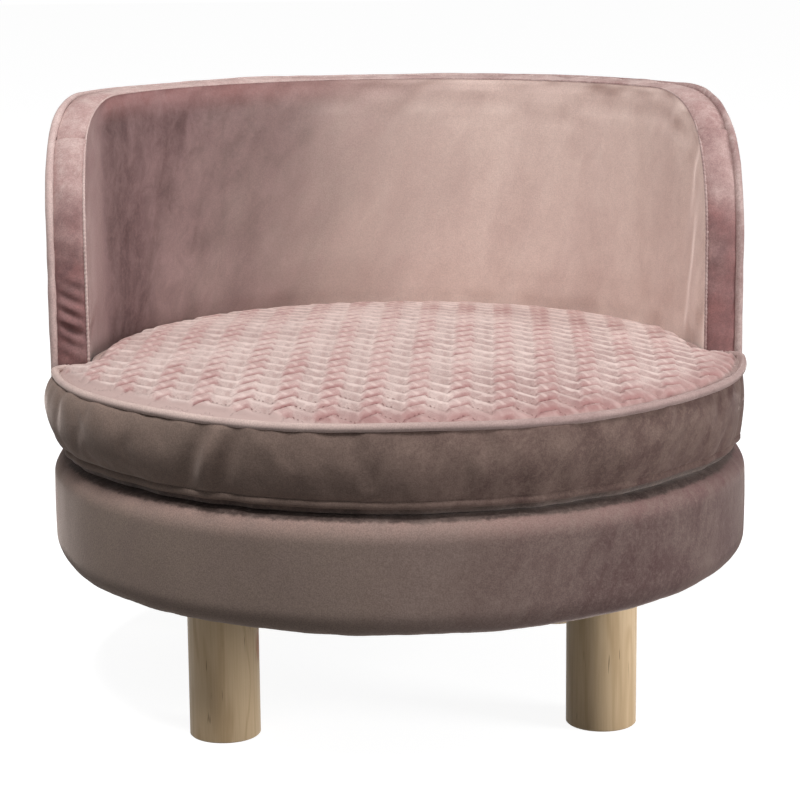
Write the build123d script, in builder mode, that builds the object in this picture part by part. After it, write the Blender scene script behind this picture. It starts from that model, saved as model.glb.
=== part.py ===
from build123d import *
from math import asin, cos, degrees, pi, radians, sin, sqrt
import os

# Round dog sofa bed: a padded drum on four turned legs, a padded backrest round its rear half,
# and a loose box cushion with a quilted top that lifts out between the arms.
# Sizes are in millimetres. The origin is on the floor under the middle of the round base,
# +Z is up, and the open front faces -Y.

# Overall
body_radius = 240.0
overall_height = 410.0
leg_length = 93.4
base_height = 79.4
base_bottom_round = 20.0
base_top_round = 16.0

# Fabric, piping and the gaps between layers
cover_thickness = 1.6
piping_radius = 2.8
layer_gap = 0.2
seam_gap = 0.3
seat_gap = 0.3
overrun = 5.0

# Drum inside the base
top_foam_thickness = 10.2
bottom_board_thickness = 15.0
bottom_board_round = 14.0
top_board_thickness = 9.0
ring_wall_thickness = 2.8
hem_width = 15.0
dust_cover_thickness = 0.8
dust_cover_overlap = 14.0
block_length = 60.0
block_width = 40.0
block_inset = 50.0
block_count = 4

# Legs and the fittings that hold them
leg_diameter = 47.0
leg_edge_distance = 38.3
leg_edge_chamfer = 0.8
hanger_bolt_diameter = 8.0
hanger_bolt_depth = 36.0
hanger_bolt_rise = 32.0
hanger_bolt_chamfer = 1.0
t_nut_flange_diameter = 22.0
t_nut_flange_thickness = 1.5
t_nut_barrel_diameter = 10.5
t_nut_barrel_length = 12.0
thread_clearance = 0.15

# Backrest
backrest_thickness = 24.4
arm_reach = 10.0
arm_corner_radius = 105.0
band_seam_drop = 28.0
padding_thickness = 3.0
panel_thickness = 5.0
rail_height = 30.0
bolt_count = 5
bolt_start_angle = 20.0
bolt_diameter = 5.0
bolt_head_diameter = 9.2
bolt_head_height = 3.5
bolt_tip_gap = 0.8
bolt_hole_clearance = 0.4
washer_diameter = 10.0
washer_thickness = 1.0
washer_clearance = 1.6
insert_diameter = 7.4
insert_length = 13.0
corner_stations = 3

# Cushion
cushion_seam_height = 56.0
cushion_crown = 14.0
cushion_bulge = 2.0
cushion_tuck = 5.2
rear_gap = 1.2
ear_gap = 1.5
ear_round = 9.0
ear_inner_round = 4.0
quilt_thickness = 5.0
quilt_margin = 12.0
quilt_pitch_x = 27.6
quilt_pitch_y = 26.0
zigzag_rise = 13.0
channel_width = 2.4
channel_depth = 1.8

# Zip in the rear of the cushion
zip_start_angle = 30.0
zip_height = 14.0
zip_tape_thickness = 0.6
zip_chain_height = 4.6
zip_chain_thickness = 1.2
zip_gap = 0.1
slider_length = 9.0
slider_height = 7.4
slider_plate = 1.0
slider_play = 0.2
pull_length = 20.0
pull_width = 6.5
pull_thickness = 1.0
rivet_diameter = 2.4
rivet_head_diameter = 3.8
rivet_head_thickness = 0.3

# Heights worked out from the stack of layers
board_bottom = leg_length + dust_cover_thickness
base_bottom = board_bottom - cover_thickness
base_top = base_bottom + base_height
bottom_board_top = board_bottom + bottom_board_thickness
top_board_top = base_top - cover_thickness - top_foam_thickness - layer_gap
top_board_bottom = top_board_top - top_board_thickness

# Radii of the backrest, from the outside in
outer_cover_inner = body_radius - cover_thickness
padding_outer = outer_cover_inner - layer_gap
padding_inner = padding_outer - padding_thickness
panel_outer = padding_inner - layer_gap
panel_inner = panel_outer - panel_thickness
back_foam_outer = panel_inner - layer_gap
inner_cover_inner = body_radius - backrest_thickness
inner_cover_outer = inner_cover_inner + cover_thickness
back_foam_inner = inner_cover_outer + layer_gap

# Heights of the backrest: its piping stands half a cover outside the edge that it follows
backrest_top = overall_height - piping_radius + cover_thickness / 2
core_bottom = base_top + cover_thickness + layer_gap
rail_top = core_bottom + rail_height
core_inset = cover_thickness + layer_gap
piping_inset = cover_thickness / 2
under_piping = piping_inset + piping_radius + layer_gap
backrest_piping_radius = body_radius - piping_inset
band_seam_height = overall_height - band_seam_drop

# The bolts stand in the middle of the backrest's rail, and the drum's wall clears their washers
bolt_ring_radius = (back_foam_inner + back_foam_outer) / 2
bolt_range = 180.0 - 2 * bolt_start_angle
bolt_hole_radius = bolt_diameter / 2 + bolt_hole_clearance
bolt_bottom = top_board_bottom - washer_thickness
bolt_top = core_bottom + insert_length - bolt_tip_gap

# Radii of the drum, from the bolts out, and of what is under it
ring_wall_inner_radius = bolt_ring_radius + washer_diameter / 2 + washer_clearance
drum_radius = ring_wall_inner_radius + ring_wall_thickness
hem_radius = body_radius - base_bottom_round - hem_width
block_ring_radius = ring_wall_inner_radius - block_inset - block_width / 2
leg_spacing = (body_radius - leg_edge_distance - leg_diameter / 2) * sqrt(2)

# The cushion's seam line, which its piping follows
cushion_bottom = base_top + seat_gap
seam_z = cushion_bottom + cushion_seam_height
seam_front_radius = body_radius - cover_thickness / 2
seam_rear_radius = inner_cover_inner - rear_gap - piping_radius
piping_proud = piping_radius - piping_inset
seam_back_edge = arm_reach + piping_proud + ear_gap + piping_radius
panel_inset = piping_radius + layer_gap
band_top = seam_z - piping_radius - layer_gap
band_bottom = cushion_bottom + cover_thickness + layer_gap
foam_inset = cushion_tuck + cover_thickness + layer_gap
crown_edge_radius = seam_front_radius - panel_inset
crown_radius = (crown_edge_radius**2 + cushion_crown**2) / (2 * cushion_crown)
crown_centre_z = seam_z + cushion_crown - crown_radius

# Where the rounded ears of the cushion meet its front and rear arcs
ear_corner_centre = (
    sqrt((seam_front_radius - ear_round) ** 2 - (seam_back_edge + ear_round) ** 2),
    -(seam_back_edge + ear_round),
)
ear_notch_centre = (
    sqrt((seam_rear_radius + ear_inner_round) ** 2 - (seam_back_edge - ear_inner_round) ** 2),
    -(seam_back_edge - ear_inner_round),
)
front_band_angle = degrees(asin((seam_back_edge + ear_round) / (seam_front_radius - ear_round)))
rear_band_angle = degrees(asin((seam_back_edge - ear_inner_round) / (seam_rear_radius + ear_inner_round)))
front_seam_angle = degrees(seam_gap / seam_front_radius)
rear_seam_angle = degrees(seam_gap / seam_rear_radius)

# Zip stack, from the tape out
zip_middle_z = (band_top + band_bottom) / 2
zip_range = 180.0 - 2 * zip_start_angle
tape_outer = seam_rear_radius - (cover_thickness - zip_tape_thickness) / 2
chain_outer = tape_outer + zip_gap + zip_chain_thickness
slider_inner = chain_outer + zip_gap
slider_outer = slider_inner + slider_plate
slider_angle = degrees(slider_length / slider_outer)
slider_mid_angle = zip_start_angle + slider_angle
pull_inner = slider_outer + zip_gap
pull_outer = pull_inner + pull_thickness


def upright(angle):
    """A standing plane through the middle axis; x is the radius and y is the height."""
    turn = radians(angle)
    return Plane(origin=(0, 0, 0), x_dir=(cos(turn), sin(turn), 0), z_dir=(sin(turn), -cos(turn), 0))


def facing_out(angle, radius, height):
    """A plane square to the radius at that angle; x runs along the arc and y is up."""
    turn = radians(angle)
    return Plane(
        origin=(radius * cos(turn), radius * sin(turn), height),
        x_dir=(-sin(turn), cos(turn), 0),
        z_dir=(cos(turn), sin(turn), 0),
    )


def ring(inner_radius, outer_radius, height):
    """A flat ring at that height, to extrude upwards."""
    with BuildSketch(Plane.XY.offset(height)) as outline:
        Circle(outer_radius)
        Circle(inner_radius, mode=Mode.SUBTRACT)
    return outline.sketch


def disc(radius, height):
    """A flat disc at that height, to extrude upwards."""
    with BuildSketch(Plane.XY.offset(height)) as outline:
        Circle(radius)
    return outline.sketch


def base_section(inset):
    """Half the section of the padded base, with its rounded edges, to revolve."""
    width = body_radius - inset
    with BuildSketch(Plane.XZ) as outline:
        with Locations((0, base_bottom + inset)):
            Rectangle(width, base_height - 2 * inset, align=(Align.MIN, Align.MIN))
        bottom_corner = outline.vertices().group_by(Axis.Y)[0].sort_by(Axis.X)[-1]
        fillet(bottom_corner, radius=base_bottom_round - inset)
        top_corner = outline.vertices().group_by(Axis.Y)[-1].sort_by(Axis.X)[-1]
        fillet(top_corner, radius=base_top_round - inset)
    return outline.sketch


def side_outline(inset, foot):
    """The backrest seen from the side: upright at the front of the arms, round at their top corner."""
    front = inset - arm_reach
    top = backrest_top - inset
    round_radius = arm_corner_radius - inset
    back = body_radius + overrun
    with BuildSketch(Plane.YZ) as outline:
        with BuildLine():
            arc_start = (front + round_radius, top)
            arc_end = (front, top - round_radius)
            Polyline(arc_end, (front, foot), (back, foot), (back, top), arc_start)
            RadiusArc(arc_start, arc_end, -round_radius)
        make_face()
    return outline.sketch


def wall_height(foot):
    """The height of a backrest layer before its top is cut to the side outline."""
    return overall_height + overrun - foot


def bolt_places():
    """Where the bolts that hold the backrest stand on their ring."""
    return PolarLocations(bolt_ring_radius, bolt_count, bolt_start_angle, bolt_range, endpoint=True)


def leg_places():
    """The four corners where the legs stand."""
    return GridLocations(leg_spacing, leg_spacing, 2, 2)


def cushion_plan(inset, rear_inset, height):
    """The cushion from above: the full round in front, narrower between the arms behind."""
    edge = -(seam_back_edge + inset)
    with BuildSketch(Plane.XY.offset(height)) as outline:
        Circle(seam_front_radius - inset)
        with Locations((0, edge)):
            Rectangle(2 * body_radius, 2 * body_radius, align=(Align.CENTER, Align.MIN), mode=Mode.SUBTRACT)
        Circle(seam_rear_radius - rear_inset)
        corners = outline.vertices().filter_by_position(Axis.Y, edge - layer_gap, edge + layer_gap)
        outer_corners = corners.sort_by(lambda corner: abs(corner.X))[-2:]
        fillet(outer_corners, radius=ear_round - inset)
        corners = outline.vertices().filter_by_position(Axis.Y, edge - layer_gap, edge + layer_gap)
        inner_corners = corners.sort_by(lambda corner: abs(corner.X))[:2]
        fillet(inner_corners, radius=ear_inner_round + inset)
    return outline.sketch


def band_section(angle):
    """The bulging section of the cushion's side, thickest at mid height and tucked in below."""
    middle = (band_top + band_bottom) / 2
    with BuildSketch(upright(angle)) as outline:
        with BuildLine():
            outside = ThreePointArc(
                (seam_front_radius, band_top),
                (body_radius + cushion_bulge, middle),
                (seam_front_radius - cushion_tuck, band_bottom),
            )
            inside = ThreePointArc(
                (seam_front_radius - cover_thickness, band_top),
                (body_radius + cushion_bulge - cover_thickness, middle),
                (seam_front_radius - cushion_tuck - cover_thickness, band_bottom),
            )
            Line(outside @ 0, inside @ 0)
            Line(outside @ 1, inside @ 1)
        make_face()
    return outline.sketch


# Base: boards, wall, blocks, foam and covers

with BuildPart() as base_bottom_board:
    extrude(disc(drum_radius, board_bottom), amount=bottom_board_thickness)
    fillet(base_bottom_board.edges().group_by(Axis.Z)[0], radius=bottom_board_round)
    with leg_places():
        with Locations((0, 0, bottom_board_top)):
            Hole(radius=t_nut_barrel_diameter / 2 + thread_clearance)
base_bottom_board.part.label = "base_bottom_board"

with BuildPart() as base_ring_wall:
    wall_outline = ring(ring_wall_inner_radius, drum_radius, bottom_board_top)
    extrude(wall_outline, amount=top_board_bottom - bottom_board_top)
base_ring_wall.part.label = "base_ring_wall"

with BuildPart() as base_top_board:
    extrude(disc(drum_radius, top_board_bottom), amount=top_board_thickness)
    with bolt_places():
        with Locations((0, 0, top_board_top)):
            Hole(radius=bolt_hole_radius)
base_top_board.part.label = "base_top_board"

with BuildPart() as base_spacer_blocks:
    with BuildSketch(Plane.XY.offset(bottom_board_top)):
        with PolarLocations(block_ring_radius, block_count):
            Rectangle(block_width, block_length)
    extrude(amount=top_board_bottom - bottom_board_top)
base_spacer_blocks.part.label = "base_spacer_blocks"

with BuildPart() as base_side_foam:
    revolve(base_section(cover_thickness + layer_gap), axis=Axis.Z)
    split(bisect_by=Plane.XY.offset(top_board_top), keep=Keep.BOTTOM)
    extrude(disc(drum_radius + layer_gap, base_bottom), amount=base_height, mode=Mode.SUBTRACT)
base_side_foam.part.label = "base_side_foam"

with BuildPart() as base_top_foam:
    revolve(base_section(cover_thickness + layer_gap), axis=Axis.Z)
    split(bisect_by=Plane.XY.offset(top_board_top + layer_gap), keep=Keep.TOP)
    with bolt_places():
        with Locations((0, 0, base_top)):
            Hole(radius=bolt_hole_radius)
base_top_foam.part.label = "base_top_foam"

with BuildPart() as base_cover:
    revolve(base_section(0), axis=Axis.Z)
    revolve(base_section(cover_thickness), axis=Axis.Z, mode=Mode.SUBTRACT)
    hem_opening = disc(hem_radius, base_bottom - overrun)
    extrude(hem_opening, amount=cover_thickness + 2 * overrun, mode=Mode.SUBTRACT)
    with bolt_places():
        with Locations((0, 0, base_top)):
            Hole(radius=bolt_hole_radius, depth=2 * cover_thickness)
base_cover.part.label = "base_cover"

with BuildPart() as dust_cover:
    step = hem_radius - layer_gap
    with BuildSketch(Plane.XZ):
        with BuildLine():
            Polyline(
                (0, board_bottom),
                (step, board_bottom),
                (step, base_bottom),
                (hem_radius + dust_cover_overlap, base_bottom),
                (hem_radius + dust_cover_overlap, base_bottom - dust_cover_thickness),
                (step - dust_cover_thickness, base_bottom - dust_cover_thickness),
                (step - dust_cover_thickness, leg_length),
                (0, leg_length),
                close=True,
            )
        make_face()
    revolve(axis=Axis.Z)
    with leg_places():
        with Locations((0, 0, board_bottom)):
            Hole(radius=t_nut_barrel_diameter / 2)
dust_cover.part.label = "dust_cover"

# Legs and their fittings

leg_names = ["leg_front_left", "leg_rear_left", "leg_front_right", "leg_rear_right"]
half_spacing = leg_spacing / 2
leg_corners = [
    (-half_spacing, -half_spacing),
    (-half_spacing, half_spacing),
    (half_spacing, -half_spacing),
    (half_spacing, half_spacing),
]
legs = []
for leg_name, corner in zip(leg_names, leg_corners):
    with BuildPart() as leg:
        with BuildSketch():
            with Locations(corner):
                Circle(leg_diameter / 2)
        extrude(amount=leg_length)
        chamfer(leg.faces().sort_by(Axis.Z)[0].edges(), length=leg_edge_chamfer)
        with Locations((*corner, leg_length)):
            Hole(radius=hanger_bolt_diameter / 2 + thread_clearance, depth=hanger_bolt_depth)
    leg.part.label = leg_name
    legs.append(leg)

with BuildPart() as leg_t_nuts:
    with BuildSketch(Plane.XY.offset(bottom_board_top)):
        with leg_places():
            Circle(t_nut_flange_diameter / 2)
    extrude(amount=t_nut_flange_thickness)
    with BuildSketch(Plane.XY.offset(bottom_board_top)):
        with leg_places():
            Circle(t_nut_barrel_diameter / 2)
    extrude(amount=-t_nut_barrel_length)
    with BuildSketch(Plane.XY.offset(bottom_board_top + t_nut_flange_thickness)):
        with leg_places():
            Circle(hanger_bolt_diameter / 2 + thread_clearance)
    extrude(amount=-(t_nut_flange_thickness + t_nut_barrel_length), mode=Mode.SUBTRACT)
leg_t_nuts.part.label = "leg_t_nuts"

with BuildPart() as leg_hanger_bolts:
    with BuildSketch(Plane.XY.offset(leg_length - hanger_bolt_depth + thread_clearance)):
        with leg_places():
            Circle(hanger_bolt_diameter / 2)
    extrude(amount=hanger_bolt_depth + hanger_bolt_rise - thread_clearance)
    chamfer(leg_hanger_bolts.edges().group_by(Axis.Z)[-1], length=hanger_bolt_chamfer)
leg_hanger_bolts.part.label = "leg_hanger_bolts"

# Backrest: panel, rail, fastenings, foam, covers and piping

with BuildPart() as backrest_panel:
    extrude(ring(panel_inner, panel_outer, core_bottom), amount=wall_height(core_bottom))
    extrude(side_outline(core_inset, core_bottom), amount=body_radius, both=True, mode=Mode.INTERSECT)
backrest_panel.part.label = "backrest_panel"

with BuildPart() as backrest_bottom_rail:
    extrude(ring(back_foam_inner, back_foam_outer, core_bottom), amount=rail_height)
    extrude(side_outline(core_inset, core_bottom), amount=body_radius, both=True, mode=Mode.INTERSECT)
    with bolt_places():
        with Locations((0, 0, rail_top)):
            Hole(radius=insert_diameter / 2 + thread_clearance)
backrest_bottom_rail.part.label = "backrest_bottom_rail"

with BuildPart() as rail_inserts:
    with BuildSketch(Plane.XY.offset(core_bottom)):
        with bolt_places():
            Circle(insert_diameter / 2)
            Circle(bolt_diameter / 2 + thread_clearance, mode=Mode.SUBTRACT)
    extrude(amount=insert_length)
rail_inserts.part.label = "rail_inserts"

with BuildPart() as backrest_washers:
    with BuildSketch(Plane.XY.offset(top_board_bottom)):
        with bolt_places():
            Circle(washer_diameter / 2)
            Circle(bolt_hole_radius, mode=Mode.SUBTRACT)
    extrude(amount=-washer_thickness)
backrest_washers.part.label = "backrest_washers"

with BuildPart() as backrest_bolts:
    with BuildSketch(Plane.XY.offset(bolt_bottom)):
        with bolt_places():
            Circle(bolt_diameter / 2)
    extrude(amount=bolt_top - bolt_bottom)
    with BuildSketch(Plane.XY.offset(bolt_bottom)):
        with bolt_places():
            RegularPolygon(bolt_head_diameter / 2, 6)
    extrude(amount=-bolt_head_height)
backrest_bolts.part.label = "backrest_bolts"

with BuildPart() as backrest_inner_foam:
    extrude(ring(back_foam_inner, back_foam_outer, rail_top + layer_gap), amount=wall_height(rail_top))
    foam_outline = side_outline(core_inset, rail_top + layer_gap)
    extrude(foam_outline, amount=body_radius, both=True, mode=Mode.INTERSECT)
backrest_inner_foam.part.label = "backrest_inner_foam"

with BuildPart() as backrest_outer_padding:
    extrude(ring(padding_inner, padding_outer, core_bottom), amount=wall_height(core_bottom))
    extrude(side_outline(under_piping, core_bottom), amount=body_radius, both=True, mode=Mode.INTERSECT)
backrest_outer_padding.part.label = "backrest_outer_padding"

with BuildPart() as backrest_bottom_strip:
    extrude(ring(back_foam_inner, padding_outer, base_top), amount=cover_thickness)
    extrude(side_outline(under_piping, base_top), amount=body_radius, both=True, mode=Mode.INTERSECT)
    with bolt_places():
        with Locations((0, 0, base_top + cover_thickness)):
            Hole(radius=bolt_hole_radius)
backrest_bottom_strip.part.label = "backrest_bottom_strip"

with BuildPart() as backrest_inner_cover:
    extrude(ring(inner_cover_inner, inner_cover_outer, base_top), amount=wall_height(base_top))
    extrude(side_outline(0, base_top), amount=body_radius, both=True, mode=Mode.INTERSECT)
backrest_inner_cover.part.label = "backrest_inner_cover"

with BuildPart() as backrest_outer_cover:
    extrude(ring(outer_cover_inner, body_radius, base_top), amount=wall_height(base_top))
    cover_outline = side_outline(under_piping, base_top)
    extrude(cover_outline, amount=body_radius + overrun, both=True, mode=Mode.INTERSECT)
backrest_outer_cover.part.label = "backrest_outer_cover"

with BuildPart() as whole_band:
    extrude(ring(back_foam_inner, body_radius - under_piping, base_top), amount=wall_height(base_top))
    extrude(side_outline(0, base_top), amount=body_radius, both=True, mode=Mode.INTERSECT)
    core_outline = side_outline(cover_thickness, base_top - overrun)
    extrude(core_outline, amount=body_radius, both=True, mode=Mode.SUBTRACT)

with BuildPart() as backrest_band_top:
    add(whole_band.part)
    split(bisect_by=Plane.XY.offset(band_seam_height + seam_gap / 2), keep=Keep.TOP)
backrest_band_top.part.label = "backrest_band_top"

with BuildPart() as backrest_band_right:
    add(whole_band.part)
    split(bisect_by=Plane.XY.offset(band_seam_height - seam_gap / 2), keep=Keep.BOTTOM)
    split(bisect_by=Plane.YZ, keep=Keep.TOP)
backrest_band_right.part.label = "backrest_band_right"

with BuildPart() as backrest_band_left:
    mirror(backrest_band_right.part, about=Plane.YZ)
backrest_band_left.part.label = "backrest_band_left"

# The backrest's piping climbs the front of each arm, turns over its corner and runs round the top.
# On the corner it follows the line where the side outline meets the outer cover.
corner_centre_y = arm_corner_radius - arm_reach
corner_centre_z = backrest_top - arm_corner_radius
corner_path_radius = arm_corner_radius - piping_inset


def corner_place(turn):
    """The piping's middle line on the right arm's corner, and its direction, after that turn."""
    across = corner_centre_y - corner_path_radius * cos(turn)
    out = sqrt(backrest_piping_radius**2 - across**2)
    place = Vector(out, across, corner_centre_z + corner_path_radius * sin(turn))
    course = Vector(-across * sin(turn) / out, sin(turn), cos(turn)).normalized()
    return place, course


def arc_pair(start, start_course, end, end_course):
    """Two arcs that leave the start and reach the end along the given directions."""
    span = end - start
    both = start_course + end_course
    across = span.dot(both)
    spread = 4 - both.dot(both)
    reach = (-across + sqrt(across**2 + spread * span.dot(span))) / spread
    middle = (start + start_course * reach + end - end_course * reach) * 0.5
    first = Edge.make_tangent_arc(start, start_course, middle)
    second = Edge.make_tangent_arc(middle, first.tangent_at(1), end)
    return [first, second]


stations = [corner_place(pi / 2 * number / corner_stations) for number in range(corner_stations + 1)]
corner_edges = []
for (place, course), (next_place, next_course) in zip(stations[:-1], stations[1:]):
    corner_edges.extend(arc_pair(place, course, next_place, next_course))
piping_foot = Vector(stations[0][0].X, stations[0][0].Y, base_top + layer_gap)
right_edges = [Edge.make_line(piping_foot, stations[0][0]), *corner_edges]
left_edges = [edge.mirror(Plane.YZ) for edge in right_edges]
top_start = stations[-1][0]
top_end = Vector(-top_start.X, top_start.Y, top_start.Z)
top_edge = Edge.make_three_point_arc(top_start, (0, backrest_piping_radius, top_start.Z), top_end)
backrest_piping_path = Wire([*right_edges, top_edge, *left_edges])

with BuildPart() as backrest_piping:
    with BuildSketch(Plane(origin=piping_foot, z_dir=(0, 0, 1))):
        Circle(piping_radius)
    sweep(path=backrest_piping_path)
backrest_piping.part.label = "backrest_piping"

# Cushion: foam, panels, side bands and piping

with BuildPart() as cushion_foam:
    extrude(cushion_plan(foam_inset, foam_inset, band_bottom), amount=cushion_seam_height + cushion_crown)
    with Locations((0, 0, crown_centre_z)):
        Sphere(crown_radius - quilt_thickness - layer_gap, mode=Mode.INTERSECT)
cushion_foam.part.label = "cushion_foam"

with BuildPart() as cushion_bottom_panel:
    extrude(cushion_plan(cushion_tuck, 0, cushion_bottom), amount=cover_thickness)
cushion_bottom_panel.part.label = "cushion_bottom_panel"

# The quilting channels are zigzags that run across the cushion, one behind the other,
# cut into the crowned top down to an even depth and kept off its plain margin.
zigzag_half = quilt_pitch_x / 2
zigzag_steps = 2 * int(seam_front_radius / quilt_pitch_x) + 2
row_steps = int(seam_front_radius / quilt_pitch_y)
channel_half_height = channel_width * sqrt(zigzag_half**2 + zigzag_rise**2) / zigzag_half / 2

with BuildSketch(Plane.XY.offset(seam_z - channel_depth)) as channels:
    for row in range(-row_steps, row_steps + 1):
        middle_line = [
            (step * zigzag_half, row * quilt_pitch_y + (step % 2) * zigzag_rise)
            for step in range(-zigzag_steps, zigzag_steps + 1)
        ]
        upper = [(x, y + channel_half_height) for x, y in middle_line]
        lower = [(x, y - channel_half_height) for x, y in reversed(middle_line)]
        with BuildLine():
            Polyline(*upper, *lower, close=True)
        make_face()
    with BuildSketch(mode=Mode.INTERSECT):
        Circle(seam_front_radius - quilt_margin)
        with Locations((0, -seam_back_edge - quilt_margin)):
            Rectangle(2 * body_radius, 2 * body_radius, align=(Align.CENTER, Align.MIN), mode=Mode.SUBTRACT)
        Circle(seam_rear_radius - quilt_margin)

with BuildPart() as channel_cutter:
    extrude(channels.sketch, amount=cushion_crown + overrun)
    with Locations((0, 0, crown_centre_z)):
        Sphere(crown_radius - channel_depth, mode=Mode.SUBTRACT)

with BuildPart() as cushion_top_panel:
    extrude(
        cushion_plan(panel_inset, panel_inset, seam_z - quilt_thickness - overrun),
        amount=quilt_thickness + cushion_crown + 2 * overrun,
    )
    with Locations((0, 0, crown_centre_z)):
        Sphere(crown_radius, mode=Mode.INTERSECT)
        Sphere(crown_radius - quilt_thickness, mode=Mode.SUBTRACT)
    add(channel_cutter.part, mode=Mode.SUBTRACT)
cushion_top_panel.part.label = "cushion_top_panel"

with BuildPart() as cushion_front_band:
    revolve(
        band_section(front_band_angle + front_seam_angle - 180),
        axis=Axis.Z,
        revolution_arc=180 - 2 * (front_band_angle + front_seam_angle),
    )
cushion_front_band.part.label = "cushion_front_band"

with BuildPart() as cushion_ear_right:
    with BuildLine() as ear_path:
        CenterArc(ear_corner_centre, ear_round, -front_band_angle, 90 + front_band_angle)
        Line((ear_corner_centre[0], -seam_back_edge), (ear_notch_centre[0], -seam_back_edge))
        CenterArc(ear_notch_centre, ear_inner_round, -90, -(90 + rear_band_angle))
    sweep(band_section(-front_band_angle), path=ear_path.wires()[0])
cushion_ear_right.part.label = "cushion_ear_right"

with BuildPart() as cushion_ear_left:
    mirror(cushion_ear_right.part, about=Plane.YZ)
cushion_ear_left.part.label = "cushion_ear_left"

with BuildPart() as cushion_rear_band:
    with BuildSketch(upright(rear_seam_angle - rear_band_angle)):
        with Locations((seam_rear_radius, band_bottom)):
            Rectangle(cover_thickness, band_top - band_bottom, align=(Align.MAX, Align.MIN))
    revolve(axis=Axis.Z, revolution_arc=180 + 2 * (rear_band_angle - rear_seam_angle))
    with BuildSketch(upright(zip_start_angle)):
        with Locations((seam_rear_radius, zip_middle_z)):
            Rectangle(2 * overrun, zip_height)
    revolve(axis=Axis.Z, revolution_arc=zip_range, mode=Mode.SUBTRACT)
cushion_rear_band.part.label = "cushion_rear_band"

with BuildPart() as cushion_piping:
    seam_wire = cushion_plan(0, 0, seam_z).faces()[0].outer_wire()
    with BuildSketch(Plane(origin=seam_wire @ 0, z_dir=seam_wire % 0)):
        Circle(piping_radius)
    sweep(path=seam_wire)
cushion_piping.part.label = "cushion_piping"

# Zip: tape, chain, slider and pull

with BuildPart() as zip_tape:
    with BuildSketch(upright(zip_start_angle + rear_seam_angle)):
        with Locations((tape_outer, zip_middle_z)):
            Rectangle(zip_tape_thickness, zip_height - 2 * layer_gap, align=(Align.MAX, Align.CENTER))
    revolve(axis=Axis.Z, revolution_arc=zip_range - 2 * rear_seam_angle)
zip_tape.part.label = "zip_tape"

with BuildPart() as zip_chain:
    with BuildSketch(upright(zip_start_angle + rear_seam_angle)):
        with Locations((chain_outer, zip_middle_z)):
            Rectangle(zip_chain_thickness, zip_chain_height, align=(Align.MAX, Align.CENTER))
    revolve(axis=Axis.Z, revolution_arc=zip_range - 2 * rear_seam_angle)
zip_chain.part.label = "zip_chain"

with BuildPart() as zip_slider:
    with BuildSketch(upright(slider_mid_angle - slider_angle / 2)):
        with Locations((slider_outer, zip_middle_z)):
            Rectangle(slider_outer - tape_outer - zip_gap, slider_height, align=(Align.MAX, Align.CENTER))
        with Locations((slider_inner, zip_middle_z)):
            Rectangle(
                slider_inner - tape_outer,
                zip_chain_height + 2 * slider_play,
                align=(Align.MAX, Align.CENTER),
                mode=Mode.SUBTRACT,
            )
    revolve(axis=Axis.Z, revolution_arc=slider_angle)
    with BuildSketch(facing_out(slider_mid_angle, slider_outer - slider_plate / 2, zip_middle_z)):
        Circle(rivet_diameter / 2)
    extrude(amount=pull_outer - slider_outer + slider_plate / 2 + zip_gap)
    with BuildSketch(facing_out(slider_mid_angle, pull_outer + zip_gap, zip_middle_z)):
        Circle(rivet_head_diameter / 2)
    extrude(amount=rivet_head_thickness)
zip_slider.part.label = "zip_slider"

with BuildPart() as zip_pull:
    with BuildSketch(facing_out(slider_mid_angle, pull_inner, zip_middle_z)):
        with Locations((0, (pull_width - pull_length) / 2)):
            SlotOverall(pull_length, pull_width, rotation=90)
        Circle(rivet_diameter / 2 + zip_gap, mode=Mode.SUBTRACT)
    extrude(amount=pull_thickness)
zip_pull.part.label = "zip_pull"

pieces = [
    base_bottom_board,
    base_ring_wall,
    base_top_board,
    base_spacer_blocks,
    base_side_foam,
    base_top_foam,
    base_cover,
    dust_cover,
    *legs,
    leg_t_nuts,
    leg_hanger_bolts,
    backrest_panel,
    backrest_bottom_rail,
    rail_inserts,
    backrest_washers,
    backrest_bolts,
    backrest_inner_foam,
    backrest_outer_padding,
    backrest_bottom_strip,
    backrest_inner_cover,
    backrest_outer_cover,
    backrest_band_top,
    backrest_band_right,
    backrest_band_left,
    backrest_piping,
    cushion_foam,
    cushion_bottom_panel,
    cushion_top_panel,
    cushion_front_band,
    cushion_ear_right,
    cushion_ear_left,
    cushion_rear_band,
    cushion_piping,
    zip_tape,
    zip_chain,
    zip_slider,
    zip_pull,
]
os.makedirs("parts", exist_ok=True)
for piece in pieces:
    export_step(piece.part, "parts/" + piece.part.label + ".step")
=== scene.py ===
"""Dresses the round dog sofa bed: velvet covers, a quilted cushion, pine legs, and the studio."""

import math

import bpy
import numpy as np
from bpy.props import FloatProperty, FloatVectorProperty, IntProperty, PointerProperty
from mathutils import Matrix, Vector
from mathutils.geometry import delaunay_2d_cdt
from mathutils.kdtree import KDTree


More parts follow.
